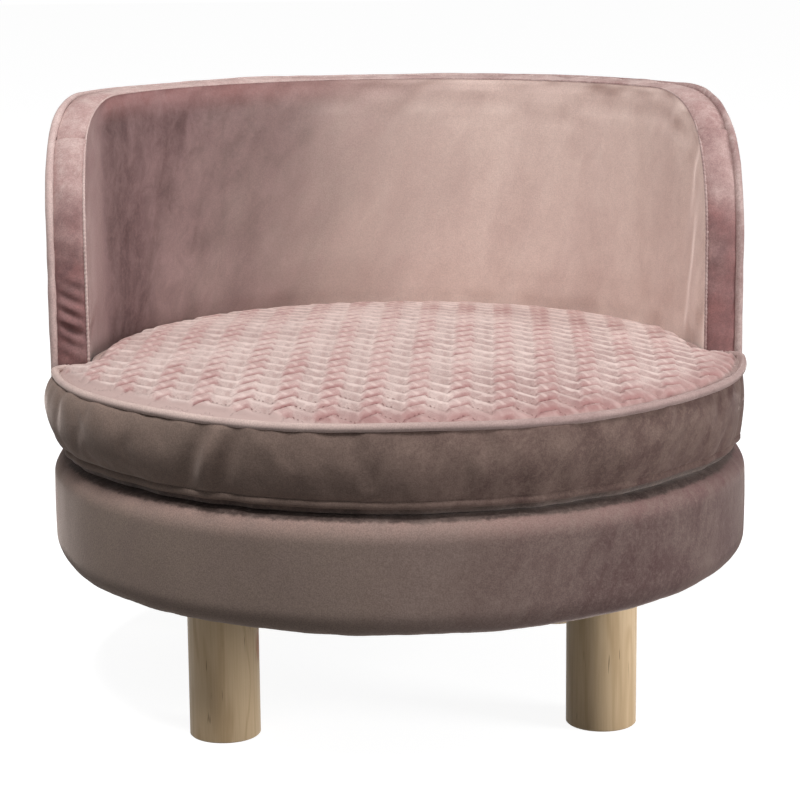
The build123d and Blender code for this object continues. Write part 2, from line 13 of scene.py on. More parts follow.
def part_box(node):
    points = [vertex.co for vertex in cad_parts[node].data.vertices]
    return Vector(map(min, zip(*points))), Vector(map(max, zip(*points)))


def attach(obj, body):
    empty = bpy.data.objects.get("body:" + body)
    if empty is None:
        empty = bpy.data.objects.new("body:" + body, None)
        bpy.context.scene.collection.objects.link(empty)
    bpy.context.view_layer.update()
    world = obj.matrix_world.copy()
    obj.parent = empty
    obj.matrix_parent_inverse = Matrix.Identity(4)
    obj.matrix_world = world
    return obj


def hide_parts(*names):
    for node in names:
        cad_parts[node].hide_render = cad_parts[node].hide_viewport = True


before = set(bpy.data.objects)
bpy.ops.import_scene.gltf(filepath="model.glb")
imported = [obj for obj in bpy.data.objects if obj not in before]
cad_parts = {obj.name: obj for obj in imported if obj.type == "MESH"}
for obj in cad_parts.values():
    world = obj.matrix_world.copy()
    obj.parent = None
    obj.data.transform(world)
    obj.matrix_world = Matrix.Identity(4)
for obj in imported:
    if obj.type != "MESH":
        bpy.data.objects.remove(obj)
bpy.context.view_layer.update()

bl_info = {
    "name": "Round Dog Sofa Bed",
    "version": (1, 0, 0),
    "blender": (4, 5, 0),
    "location": "3D View > Sidebar > Dog Sofa",
    "description": "Upholsters the packed dog sofa bed in velvet and gives its wood and metal their finish",
    "category": "Object",
}

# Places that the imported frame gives, in metres
base_low, base_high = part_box("base_cover")
inner_low, inner_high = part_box("backrest_inner_cover")
seam_low, seam_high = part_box("cushion_piping")
panel_low, panel_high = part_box("cushion_bottom_panel")
dust_low, dust_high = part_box("dust_cover")
tape_low, tape_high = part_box("zip_tape")
chain_low, chain_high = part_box("zip_chain")


def number(name, description, default, **options):
    """A number that a user may change."""
    return FloatProperty(name=name, description=description, default=default, **options)


def length(name, description, default):
    """A size in metres that a user may change."""
    return number(name, description, default, unit="LENGTH", precision=4)


def angle(name, description, default):
    """An angle in radians that a user may change."""
    return number(name, description, default, subtype="ANGLE")


def colour(name, description, default):
    """A colour that a user may change, in linear values."""
    return FloatVectorProperty(
        name=name, description=description, default=default, subtype="COLOR", size=3, min=0.0, max=1.0
    )


class DogSofaSizes(bpy.types.PropertyGroup):
    """Sizes of the upholstery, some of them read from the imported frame."""

    body_radius: length("Body radius", "Outside radius of the base and the backrest", base_high.x)
    base_bottom: length("Base bottom", "Height of the underside of the base", base_low.z)
    base_top: length("Base top", "Height of the top of the base", base_high.z)
    base_bottom_round: length("Bottom rounding", "Radius of the base's lower edge", 0.020)
    base_top_round: length("Top rounding", "Radius of the base's upper edge", 0.016)
    hem_radius: length("Hem radius", "Where the base cover ends under the base", 0.205)
    cover_thickness: length("Cover thickness", "Thickness of the velvet with its backing", 0.0016)
    inner_radius: length("Inner radius", "Radius of the backrest's inner face", inner_high.x - 0.0016)
    arm_front: length("Arm front", "Place along Y of the front of the arms", inner_low.y)
    backrest_top: length("Backrest top", "Height of the top of the backrest's cover", inner_high.z)
    arm_corner_radius: length("Arm corner radius", "Radius of the arms' upper front corner", 0.105)
    band_seam_height: length("Band seam height", "Height of the seams across the edge band", 0.382)
    piping_radius: length("Piping radius", "Radius of the covered cord in the seams", 0.0028)
    seam_height: length("Seam height", "Height of the cushion's upper seam", (seam_low.z + seam_high.z) / 2)
    seam_front: length("Front seam radius", "Radius of the cushion's seam in front", -seam_low.y - 0.0028)
    seam_rear: length("Rear seam radius", "Radius of its seam between the arms", seam_high.y - 0.0028)
    seam_ear: length("Ear seam", "Distance of the ears' rear seam in front of the middle", 0.0163)
    ear_round: length("Ear rounding", "Radius of the ears' outer corner", 0.009)
    ear_inner_round: length("Ear inner rounding", "Radius of the ears' inner corner", 0.004)
    cushion_bottom: length("Cushion bottom", "Height of the cushion's underside", panel_low.z)
    cushion_crown: length("Cushion crown", "Rise of the cushion's top in its middle", 0.0132)
    cushion_bulge: length("Cushion bulge", "How far the cushion's side swells past its seam", 0.0030)
    left_bulge: length("Left bulge", "How much further it swells at the left arm", 0.0062)
    cushion_tuck: length("Cushion tuck", "How far the cushion's side draws in below", 0.0052)
    stitch_length: length("Stitch", "Length of one stitch", 0.0030)
    slack: number("Slack", "Share of extra cloth in the padded covers", 0.006)
    quilt_pitch: length("Quilt pitch", "Width of one zigzag of the quilting", 0.0274)
    quilt_rise: length("Quilt rise", "Depth of one zigzag of the quilting", 0.0112)
    quilt_row: length("Quilt row", "Distance from one row of quilting to the next", 0.0194)
    quilt_start: length("Quilt start", "Place of a front point of the zigzags", 0.0109)
    quilt_step: number("Quilt step", "Share of a row between the two slopes", 0.14)
    quilt_turn: angle("Quilt turn", "Turn of the quilting on the cushion", 0.105)
    quilt_loft: length("Quilt loft", "Height of a quilted rib", 0.0026)
    quilt_margin: length("Quilt margin", "Plain edge round the quilting", 0.003)
    wide_margin_turn: angle("Wide margin's place", "Where the plain edge is widest", 3.875)
    quilt_wide_margin: length("Wide margin", "How much wider that edge is at the left front", 0.010)
    leg_spacing: length("Leg spacing", "Distance between the middles of the legs", 0.252)


class DogSofaLook(bpy.types.PropertyGroup):
    """Colours of the velvet, the wood, the metal, the zip and the lining."""

    # Base velvet: painted lighter on the left and darker on the right, painted light and shade besides the
    # pile's pinker tone
    taupe: colour("Base velvet", "Velvet round the base", (0.290, 0.222, 0.182))
    taupe_rosy_shaded: colour("Base velvet, right", "The same where its pile shows pinker", (0.100, 0.056, 0.055))
    taupe_light: colour("Base velvet, brushed", "Lighter patches of that velvet", (0.25, 0.185, 0.162))
    # Painted highlight where the base's velvet turns over its top edge, dimmer at the right
    taupe_rim_highlight: colour("Base velvet, top", "The same where it turns up to the light", (0.34, 0.225, 0.195))
    rosy_rim_highlight: colour("Base velvet, top right", "That turned edge at the right", (0.185, 0.092, 0.094))
    # Cushion side: painted lighter on the left and darker on the right, painted light and shade besides the
    # pile's pinker tone
    side_dark: colour("Cushion side", "Velvet round the cushion's side", (0.215, 0.160, 0.132))
    side_rosy_shaded: colour("Cushion side, right", "The same where its pile shows pinker", (0.082, 0.042, 0.040))
    side_light: colour("Cushion side, brushed", "Lighter patches of that velvet", (0.27, 0.190, 0.158))
    # Cushion piping: its pale colour is partly a painted highlight of the cord's top, strongest on the left
    piping: colour("Cushion piping", "Velvet over the cord of the cushion's seam", (0.66, 0.51, 0.46))
    piping_right: colour("Cushion piping, right", "The same velvet at the right", (0.31, 0.213, 0.200))
    # Painted contact shadow on the base, under the cushion's edge
    contact_shadow: colour("Crushed velvet", "Velvet pressed flat under the cushion's edge", (0.030, 0.019, 0.017))
    # Backrest velvet: painted shade on the left and painted light on the right, for the pile's sideways lean
    rose_shaded: colour("Backrest velvet, dark", "Velvet where its pile leans away", (0.115, 0.066, 0.066))
    rose_lit: colour("Backrest velvet, light", "Where its pile faces the front", (0.81, 0.640, 0.570))
    rose_brushed: colour("Backrest velvet, brushed", "Patches of its light side", (0.63, 0.465, 0.420))
    # Painted sheen: a grey stripe beside the left seam, also the dark end of the brushed patches
    rose_sheen_grey: colour("Backrest velvet, left edge", "Grey stripe beside the left seam", (0.35, 0.228, 0.224))
    # Painted shade low on the backrest and on its piping, beside the cushion
    foot: colour("Arm feet", "Velvet low on the backrest, beside the cushion", (0.085, 0.052, 0.048))
    rose_rim: colour("Backrest velvet, rim", "Velvet where it rolls into its seams", (0.36, 0.17, 0.16))
    rose_piping: colour("Backrest piping", "Velvet over the cord of the backrest's edge", (0.52, 0.37, 0.35))
    rose_piping_right: colour("Backrest piping, right", "The same on the right arm", (0.27, 0.155, 0.150))
    # Edge band: painted light on top and painted shade down the arms
    band_lit: colour("Band velvet, light", "Edge band where it faces up", (0.40, 0.248, 0.234))
    band_shaded: colour("Band velvet, dark", "Edge band down the arms", (0.180, 0.100, 0.100))
    # Quilt slopes: the pinker, darker one carries painted shade and the pale one painted light, with the
    # pile's own tone
    quilt_pink: colour("Quilted velvet", "Velvet where it slopes up to the right", (0.47, 0.290, 0.273))
    quilt_pale: colour("Quilted velvet, pale", "Velvet where it slopes the other way", (0.47, 0.345, 0.320))
    # Pale tone for the painted highlights on the quilting's ribs and glints, and for brushed patches
    quilt_light: colour("Quilted velvet, ribs", "Pale ribs of the quilting", (0.70, 0.560, 0.520))
    # Painted shade in the quilting's valleys
    quilt_valley_shade: colour("Quilted velvet, valleys", "Velvet in the quilting's valleys", (0.27, 0.130, 0.124))
    # Deeper pink at the right front, also the painted shade where the quilted edge rolls over
    quilt_side: colour("Quilted velvet, right", "Deeper pink at the right front", (0.30, 0.155, 0.147))
    # Painted shade in the small dips beside the quilting's front points
    quilt_dip_shade: colour("Quilted velvet, dips", "Small dips beside the front points", (0.40, 0.28, 0.26))
    quilt_prick: colour("Quilted velvet, stitches", "Dark pricks of the stitching", (0.12, 0.045, 0.042))
    fibre_shade: colour("Fibre shade", "The dark between the fibres of the pile", (0.02, 0.01, 0.01))
    pine_light: colour("Pine, light", "Early wood of the legs", (0.71, 0.52, 0.32))
    pine_dark: colour("Pine, dark", "Late wood of the legs", (0.48, 0.315, 0.16))
    resin: colour("Resin streak", "Streak in the front left leg", (0.36, 0.13, 0.055))
    zinc: colour("Zinc plate", "Staples, bolts, nuts and washers", (0.62, 0.62, 0.60))
    nickel: colour("Nickel plate", "The zip's slider and pull", (0.60, 0.58, 0.55))
    zip_tape: colour("Zip tape", "Woven tape of the zip", (0.16, 0.10, 0.095))
    zip_coil: colour("Zip coil", "Nylon teeth of the zip", (0.22, 0.15, 0.14))
    lining: colour("Lining", "Dust cover under the base", (0.012, 0.012, 0.013))


class DogSofaStudio(bpy.types.PropertyGroup):
    """The camera, the lamps and the floor."""

    camera_side: length("Camera side", "Camera's place along X", -0.11224)
    camera_distance: length("Camera distance", "Camera's distance in front", 1.7199)
    camera_height: length("Camera height", "Camera's height", 0.5442)
    camera_pitch: angle("Pitch", "Downward tilt", 0.1983)
    camera_roll: angle("Roll", "Turn about the view", 0.0089)
    camera_yaw: angle("Yaw", "Turn to the right", 0.0656)
    focal_pixels: number("Focal length", "In pixels of the frame", 2497.6)
    frame_pixels: IntProperty(name="Frame", description="Width of the frame in pixels", default=800)
    ambient: number("Ambient", "Strength of the even studio light", 0.165, min=0)
    floor_size: length("Floor size", "Width of the pale floor", 24.0)


def sizes():
    return bpy.context.scene.dogsofa_sizes


def look():
    return bpy.context.scene.dogsofa_look


# Noise and shapes worked out on arrays of points

noise_table = np.random.default_rng(7).random((32, 32, 32)) * 2 - 1
no_depth = (1, 1, 0)


def noise(points, size, shift=0.0):
    """Smooth noise from -1 to 1 whose lumps are about that size; shift picks another pattern."""
    spots = np.asarray(points) / size + shift * 7.31
    cell = np.floor(spots).astype(int)
    part = spots - cell
    part = part * part * (3 - 2 * part)
    total = np.zeros(len(spots))
    for corner in np.ndindex(2, 2, 2):
        index = (cell + corner) % len(noise_table)
        weight = np.prod(np.where(corner, part, 1 - part), axis=1)
        total += weight * noise_table[index[:, 0], index[:, 1], index[:, 2]]
    return total * 1.6


def ease(values, start, end):
    """Runs smoothly from 0 at the start value to 1 at the end value."""
    share = np.clip((values - start) / (end - start), 0, 1)
    return share * share * (3 - 2 * share)


def bell(values, middle, width):
    """Rises to 1 at the middle value and fades away over that width on either side."""
    return np.exp(-((values - middle) / width) ** 2)


def lengths_along(points):
    """The length run so far at each point of a line."""
    return np.concatenate([[0], np.cumsum(np.linalg.norm(np.diff(points, axis=0), axis=1))])


def rings(reach, height, turns):
    """Points round the upright axis, row by row, from each row's radius and height."""
    parts = np.broadcast_arrays(reach * np.cos(turns), reach * np.sin(turns), height)
    return np.stack(parts, axis=-1).reshape(-1, 3)


def grid_faces(rows, columns, wrap=False, filled=False):
    """Quads through points held row by row; wrap joins the last column to the first, and filled closes
    the last row with one face."""
    row = np.arange(rows - 1)[:, None] * columns
    column = np.arange(columns if wrap else columns - 1)[None, :]
    after = (column + 1) % columns
    quads = [row + column, row + after, row + columns + after, row + columns + column]
    quads = np.stack(quads, axis=-1).reshape(-1, 4)
    return quads.tolist() + [list(range((rows - 1) * columns, rows * columns))] if filled else quads


def nearest_distance(points, line):
    """Distance of each point to the nearest point of a finely divided line."""
    best = np.empty(len(points))
    step = 4000
    for start in range(0, len(points), step):
        gaps = points[start:start + step, None, :] - line[None, :, :]
        best[start:start + step] = np.sqrt((gaps**2).sum(axis=2).min(axis=1))
    return best


def tube(path, radii, wrap=False, sides=16):
    """Points and faces of a round tube along a path; radii holds its radius at each point."""
    ahead = np.roll(path, -1, axis=0) - np.roll(path, 1, axis=0)
    if not wrap:
        ahead[0] = path[1] - path[0]
        ahead[-1] = path[-1] - path[-2]
    ahead /= np.linalg.norm(ahead, axis=1)[:, None]
    outward = path * no_depth
    side = outward - (outward * ahead).sum(axis=1)[:, None] * ahead
    side /= np.linalg.norm(side, axis=1)[:, None]
    other = np.cross(ahead, side)
    turns = np.linspace(0, 2 * np.pi, sides, endpoint=False)[None, :, None]
    circle = np.cos(turns) * side[:, None, :] + np.sin(turns) * other[:, None, :]
    points = (path[:, None, :] + circle * np.asarray(radii)[:, None, None]).reshape(-1, 3)
    faces = grid_faces(len(path), sides, wrap=True).tolist()
    last = (len(path) - 1) * sides
    if wrap:
        faces += [[last + k, last + (k + 1) % sides, (k + 1) % sides, k] for k in range(sides)]
    else:
        faces += [list(range(sides))[::-1], list(range(last, last + sides))]
    return points, faces


def add_piece(name, points, faces, material, slot, body="bed", relief=None, thickness=0.0, replaces=()):
    """A smooth mesh of its own that rides on a body, pushed out along its normals by the relief."""
    mesh = bpy.data.meshes.new(name)
    mesh.from_pydata(np.asarray(points).tolist(), [], [list(face) for face in faces])
    mesh.polygons.foreach_set("use_smooth", [True] * len(mesh.polygons))
    if relief is not None:
        normals = np.empty(len(points) * 3)
        mesh.vertex_normals.foreach_get("vector", normals)
        moved = np.asarray(points) + normals.reshape(-1, 3) * np.asarray(relief)[:, None]
        mesh.vertices.foreach_set("co", moved.ravel())
    mesh.update()
    piece = bpy.data.objects.new(name, mesh)
    bpy.context.scene.collection.objects.link(piece)
    mesh.materials.append(material)
    if thickness:
        cloth = piece.modifiers.new("Cloth thickness", "SOLIDIFY")
        cloth.thickness = thickness
        cloth.offset = -1
    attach(piece, body)
    if replaces:
        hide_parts(*replaces)
    return piece


def add_blocks(name, blocks, *finish, **options):
    """One flat-sided piece of many small blocks, each given as its middle and its three half edges."""
    blocks = np.array(blocks)
    corners = np.array([(a, b, c) for a in (-1, 1) for b in (-1, 1) for c in (-1, 1)], float)
    sides = np.array([(0, 1, 3, 2), (4, 6, 7, 5), (0, 4, 5, 1), (2, 3, 7, 6), (1, 5, 7, 3), (0, 2, 6, 4)])
    points = blocks[:, :1] + corners @ blocks[:, 1:]
    faces = len(corners) * np.arange(len(blocks))[:, None, None] + sides
    piece = add_piece(name, points.reshape(-1, 3), faces.reshape(-1, 4), *finish, **options)
    piece.data.polygons.foreach_set("use_smooth", [False] * len(piece.data.polygons))


# Soft forms


def swell(points, faces, free, cap, slack):
    """How far air pressure moves each point of a coarse cover, from a short cloth simulation.
    Points whose free value is 0 are held by seams; slack is the share of extra cloth; no point moves further
    than the cap."""
    points = np.asarray(points, float)
    scene = bpy.context.scene
    mesh = bpy.data.meshes.new("Cover")
    mesh.from_pydata(points.tolist(), [], [list(face) for face in faces])
    cover = bpy.data.objects.new("Cover", mesh)
    scene.collection.objects.link(cover)
    seams = cover.vertex_groups.new(name="Seams")
    for index in np.flatnonzero(free < 1).tolist():
        seams.add([index], 1 - float(free[index]), "REPLACE")
    cloth = cover.modifiers.new("Swelling", "CLOTH")
    values = cloth.settings
    values.quality = 6
    values.mass = 0.3
    values.tension_stiffness = 15
    values.compression_stiffness = 15
    values.shear_stiffness = 5
    values.bending_stiffness = 0.1
    values.use_pressure = True
    values.uniform_pressure_force = 4
    values.vertex_group_mass = seams.name
    values.shrink_min = -slack
    values.effector_weights.gravity = 0
    cloth.collision_settings.use_collision = False
    last_frame = 20
    cloth.point_cache.frame_start = 1
    cloth.point_cache.frame_end = last_frame
    for number_of_frame in range(1, last_frame + 1):
        scene.frame_set(number_of_frame)
    shown = cover.evaluated_get(bpy.context.evaluated_depsgraph_get())
    moved = np.empty(points.size)
    shown.data.vertices.foreach_get("co", moved)
    shift = moved.reshape(-1, 3) - points
    bpy.data.objects.remove(cover)
    bpy.data.meshes.remove(mesh)
    scene.frame_set(1)
    reach = np.maximum(np.linalg.norm(shift, axis=1), 1e-9)
    return shift * (cap * np.tanh(reach / cap) / reach)[:, None]


def follow(points, coarse, shift, spacing):
    """The shift of a coarse cover at the points of a fine one, blended between its nearest points."""
    tree = KDTree(len(coarse))
    for index, place in enumerate(np.asarray(coarse).tolist()):
        tree.insert(place, index)
    tree.balance()
    result = np.empty((len(points), 3))
    for row, place in enumerate(np.asarray(points).tolist()):
        near = tree.find_n(place, 7)
        weights = np.exp([-((distance / spacing) ** 2) for _, _, distance in near])
        result[row] = weights @ shift[[index for _, index, _ in near]] / weights.sum()
    return result


def swollen_grid(points, rows, columns, free, cap, slack, step=3, wrap=False):
    """The shift of a fine grid of points, from the swelling of a coarser grid taken out of it."""
    grid = np.asarray(points).reshape(rows, columns, 3)
    row_picks = np.unique(np.append(np.arange(0, rows, step), rows - 1))
    column_picks = np.arange(0, columns, step)
    if not wrap:
        column_picks = np.unique(np.append(column_picks, columns - 1))
    picks = np.ix_(row_picks, column_picks)
    coarse = grid[picks]
    spacing = np.median(np.linalg.norm(np.diff(coarse[len(coarse) // 2], axis=0), axis=1))
    held = np.asarray(free).reshape(rows, columns)[picks]
    flat = coarse.reshape(-1, 3)
    quads = grid_faces(len(row_picks), len(column_picks), wrap)
    shift = swell(flat, quads, held.ravel(), cap, slack)
    return follow(grid.reshape(-1, 3), flat, shift, spacing)


# Shader parts


class Field:
    """A value or colour that changes over a surface; a sum with it becomes a Math node of its tree."""

    def __init__(self, tree, socket):
        self.tree = tree
        self.socket = socket

    def math(self, operation, *others, clamp=False):
        return math_node(self.tree, operation, self, *others, clamp=clamp)

    def __add__(self, other):
        return self.math("ADD", other)

    def __sub__(self, other):
        return self.math("SUBTRACT", other)

    def __mul__(self, other):
        return self.math("MULTIPLY", other)

    def __truediv__(self, other):
        return self.math("DIVIDE", other)

    def from_half(self):
        """How far its fraction is from a half."""
        return (self.math("FRACT") - 0.5).math("ABSOLUTE")

    def span(self, low, high, to_low=0.0, to_high=1.0):
        """A smooth Map Range from one span of values to another."""
        inputs = {"Value": self, "From Min": low, "From Max": high, "To Min": to_low, "To Max": to_high}
        node = add_node(self.tree, "MapRange", inputs, interpolation_type="SMOOTHSTEP")
        return Field(self.tree, node.outputs[0])

    def mix(self, first, second):
        """A mix of two colours, with this as the second one's share."""
        node = add_node(self.tree, "Mix", {0: self, 6: first, 7: second}, data_type="RGBA")
        return Field(self.tree, node.outputs[2])


def feed(tree, socket, value):
    """Links a field or a socket to an input, or sets the input to a number, vector or colour."""
    if isinstance(value, Field):
        value = value.socket
    if isinstance(value, bpy.types.NodeSocket):
        tree.links.new(value, socket)
    else:
        socket.default_value = (*value[:3], 1) if socket.type == "RGBA" else value


def add_node(tree, kind, inputs, **settings):
    """A shader node with its settings, and with its named or numbered inputs fed."""
    node = tree.nodes.new("ShaderNode" + kind)
    for label, value in settings.items():
        setattr(node, label, value)
    for label, value in inputs.items():
        feed(tree, node.inputs[label], value)
    return node


def math_node(tree, operation, *values, clamp=False):
    """A Math node; each value is a number, a socket or a field."""
    node = add_node(tree, "Math", dict(enumerate(values)), operation=operation, use_clamp=clamp)
    return Field(tree, node.outputs[0])


def object_place(tree, scale=(1, 1, 1), lean=0.0, turn=0.0):
    """The place on the piece, in metres, leaned over about Y, then turned about Z and stretched."""
    place = tree.nodes.new("ShaderNodeTexCoord").outputs["Object"]
    if lean:
        place = add_node(tree, "Mapping", {"Vector": place, "Rotation": (0, -lean, 0)}).outputs[0]
    inputs = {"Vector": place, "Rotation": (0, 0, turn), "Scale": scale}
    return add_node(tree, "Mapping", inputs).outputs[0]


def split_place(tree, turn=0.0):
    """The place on the piece along X, Y and Z, in metres, turned about Z by an angle."""
    split = add_node(tree, "SeparateXYZ", {0: object_place(tree, turn=turn)})
    return [Field(tree, socket) for socket in split.outputs]


def from_axis(across, along):
    """The distance from the sofa's upright axis."""
    return (across * across + along * along).math("SQRT")


def grain(tree, per_metre, detail=2.0, roughness=0.5, distortion=0.0, scale=(1, 1, 1), lean=0.0):
    """A Noise Texture over the piece, stretched by the scale and leaned over about Y."""
    inputs = {
        "Vector": object_place(tree, scale, lean), "Scale": per_metre, "Detail": detail,
        "Roughness": roughness, "Distortion": distortion,
    }
    return Field(tree, add_node(tree, "TexNoise", inputs).outputs[0])


def new_group(name, colours, numbers):
    """An empty group with these inputs that puts out a colour, a roughness and a height."""
    group = bpy.data.node_groups.new(name, "ShaderNodeTree")
    for kind, labels in (("NodeSocketColor", colours), ("NodeSocketFloat", numbers)):
        for label, default in labels.items():
            group.interface.new_socket(label, in_out="INPUT", socket_type=kind).default_value = default
    group.interface.new_socket("Color", in_out="OUTPUT", socket_type="NodeSocketColor")
    for label in ("Roughness", "Height"):
        group.interface.new_socket(label, in_out="OUTPUT", socket_type="NodeSocketFloat")
    return group, group.nodes.new("NodeGroupInput").outputs, group.nodes.new("NodeGroupOutput").inputs


def velvet_group():
    """Brushed pile: patches where it leans another way, mottling, slanted strokes and fine fibres."""
    name = "Velvet pile"
    if name in bpy.data.node_groups:
        return bpy.data.node_groups[name]
    colours = {"Pile": (0.5, 0.35, 0.32, 1), "Brushed": (0.6, 0.45, 0.42, 1)}
    numbers = {
        "Patches per metre": 18.0, "Patch strength": 0.5, "Mottle strength": 0.3,
        "Streaks per metre": 30.0, "Streak strength": 0.3, "Fibre strength": 0.22,
    }
    group, source, sink = new_group(name, colours, numbers)
    patches = grain(group, source["Patches per metre"], 3, 0.55, 0.4).span(0.38, 0.66)
    mottle = grain(group, 75, 5, 0.68, 0.6, (1, 1, 0.6), lean=0.6).span(0.36, 0.68)
    streaks = grain(group, source["Streaks per metre"], 4, 0.62, 0.25, (1, 1, 0.24), lean=0.42)
    share = patches * source["Patch strength"] + mottle * source["Mottle strength"]
    share = share + streaks.span(0.40, 0.64) * source["Streak strength"]
    tone = share.math("MINIMUM", 1.0).mix(source["Pile"], source["Brushed"])
    fibres = grain(group, 1100, 2, 0.7)
    lint = grain(group, 330, 3, 0.7)
    tone = (fibres.span(0.35, 0.65) * source["Fibre strength"]).mix(tone, look().fibre_shade)
    tone = (lint.span(0.45, 0.7) * source["Fibre strength"]).mix(tone, source["Brushed"])
    feed(group, sink["Color"], tone)
    feed(group, sink["Roughness"], lint.span(0.3, 0.7, 0.78, 0.92))
    feed(group, sink["Height"], fibres * 0.6 + lint * 0.8)
    return group


def finished(name, paint):
    """The material of that name; the first time, paint fills its tree and its Principled BSDF."""
    if name not in bpy.data.materials:
        material = bpy.data.materials.new(name)
        material.use_nodes = True
        paint(material.node_tree, material.node_tree.nodes["Principled BSDF"])
    return bpy.data.materials[name]


def surface(tree, shader, tone, roughness, height, depth, strength):
    """Feeds a shader a colour, a roughness, and a height that is that deep in metres."""
    bump = add_node(tree, "Bump", {"Strength": strength, "Distance": depth, "Height": height})
    for label, value in (("Base Color", tone), ("Roughness", roughness), ("Normal", bump.outputs[0])):
        feed(tree, shader.inputs[label], value)


def pile(tree, shader, colours, patches, streaks, mottle=0.25, fibres=0.22):
    """The pile group in a velvet, with its two colours; patches and streaks are (per metre, strength)."""
    inputs = {
        "Pile": colours[0], "Brushed": colours[1], "Mottle strength": mottle, "Fibre strength": fibres,
        "Patches per metre": patches[0], "Patch strength": patches[1],
        "Streaks per metre": streaks[0], "Streak strength": streaks[1],
    }
    sheen = {
        "Sheen Weight": 0.50, "Sheen Roughness": 0.30, "Sheen Tint": (0.96, 0.81, 0.75),
        "Specular IOR Level": 0.12,
    }
    for label, value in sheen.items():
        feed(tree, shader.inputs[label], value)
    return add_node(tree, "Group", inputs, node_tree=velvet_group()).outputs


def velvet(name, colours, **values):
    """A velvet with these values of its pile; colours gives its pile's and its brushed colour in a tree."""

    def paint(tree, shader):
        made = pile(tree, shader, colours(tree), **values)
        surface(tree, shader, made["Color"], made["Roughness"], made["Height"], 0.0003, 0.6)

    return finished(name, paint)


def side_velvet(name, left, right, light, rim_height):
    """Taupe velvet of the base or the cushion's side: the pile's pinker tone to the right, with painted
    light on the left and painted shade on the right; a painted highlight above the rim height; and a painted
    contact shadow, a dark ring where the cushion's edge sits on the base."""
    size, tones = sizes(), look()

    def colours(tree):
        across, along, height = split_place(tree)
        wander = grain(tree, 7, 3)
        ring = from_axis(across, along) + (grain(tree, 160, 3, 0.7) - 0.5) * 0.005
        across = across + wander * 0.30
        # Painted light to the left and painted shade to the right, with the pile's pinker tone
        tone = across.span(-0.08, 0.36).mix(left, right)
        # Painted highlight above the rim height, where the velvet turns up to the light
        rim = (height + wander * 0.012).span(rim_height, rim_height + 0.018, 0.0, 0.85)
        tone = rim.mix(tone, across.span(0.14, 0.40).mix(tones.taupe_rim_highlight, tones.rosy_rim_highlight))
        # Painted contact shadow: a dark ring on the base just under the cushion's edge
        shadow_ring = ring.span(0.2355, 0.2328) * ring.span(0.212, 0.220)
        low = height - size.base_top
        near = low.span(-0.0085, -0.0060) * low.span(0.0042, 0.0034)
        return (shadow_ring * near * 0.93).mix(tone, tones.contact_shadow), light

    return velvet(name, colours, patches=(14.0, 0.26), streaks=(22.0, 0.16), mottle=0.30, fibres=0.28)


def base_velvet():
    """Velvet of the base, with a painted highlight where it turns over its top edge."""
    tones = look()
    colours = (tones.taupe, tones.taupe_rosy_shaded, tones.taupe_light)
    return side_velvet("Base velvet", *colours, sizes().base_top - 0.014)


def cushion_velvet():
    """Velvet of the cushion's side and underside."""
    tones = look()
    colours = (tones.side_dark, tones.side_rosy_shaded, tones.side_light)
    return side_velvet("Cushion velvet", *colours, sizes().seam_height)


def piping_velvet(name, start, end, first, second, pale):
    """Velvet pulled tight over a cord; it turns from the first colour to the second along X, with painted
    shade low down beside the cushion.
    """

    def colours(tree):
        across, _, height = split_place(tree)
        tone = across.span(start, end).mix(first, second)
        return height.span(0.223, 0.212).mix(tone, look().foot), pale

    return velvet(name, colours, patches=(30.0, 0.30), streaks=(60.0, 0.1))


def backrest_piping_velvet():
    """Velvet of the backrest's piping and inner seam, deeper to the right."""
    tones = look()
    ends = (tones.rose_piping, tones.rose_piping_right)
    return piping_velvet("Backrest piping velvet", -0.10, 0.20, *ends, tones.quilt_light)


def backrest_velvet():
    """Rose velvet of the backrest, redder at its rim: painted shade on its left and painted light on its
    right for the sideways lean of its pile, a painted grey sheen by the left seam, and painted shade low
    beside the cushion.
    """
    tones = look()

    def colours(tree):
        across, along, height = split_place(tree)
        wander = (grain(tree, 10, 4, 0.6, scale=(1, 1, 0.45), lean=0.6) - 0.5) * 0.17
        slant = (height - 0.30) * 0.30
        # Painted shade to the left and painted light to the right, for the pile's sideways lean
        lean = (across - slant + wander).span(-0.190, 0.080)
        left_rim = height.span(0.385, 0.404) * across.span(0.10, -0.12, 0.10, 0.6)
        tone = left_rim.mix(lean.mix(tones.rose_shaded, tones.rose_lit), tones.rose_rim)
        # Painted sheen in a grey stripe beside the left seam
        tone = across.span(-0.200, -0.211, 0.0, 0.75).mix(tone, tones.rose_sheen_grey)
        # Painted shade low on the arms beside the cushion
        foot = height.span(0.232, 0.216) * along.span(0.030, 0.006)
        return foot.mix(tone, tones.foot), lean.mix(tones.rose_sheen_grey, tones.rose_brushed)

    values = {"patches": (16.0, 0.18), "streaks": (30.0, 0.26), "mottle": 0.26, "fibres": 0.14}
    return velvet("Backrest velvet", colours, **values)


def band_velvet():
    """Rose velvet of the backrest's edge band: painted light on top where it faces up, painted shade down
    the arms.
    """
    tones = look()

    def colours(tree):
        across, _, height = split_place(tree)
        wander = (grain(tree, 20, 4, 0.65) - 0.5) * 0.26
        # Painted light higher up and painted shade lower down the arms
        lean = (height - across * 0.06 + wander).span(0.243, 0.412)
        return lean.mix(tones.band_shaded, tones.band_lit), lean.mix(tones.rose_rim, tones.quilt_light)

    return velvet("Band velvet", colours, patches=(24.0, 0.25), streaks=(40.0, 0.12), mottle=0.30)


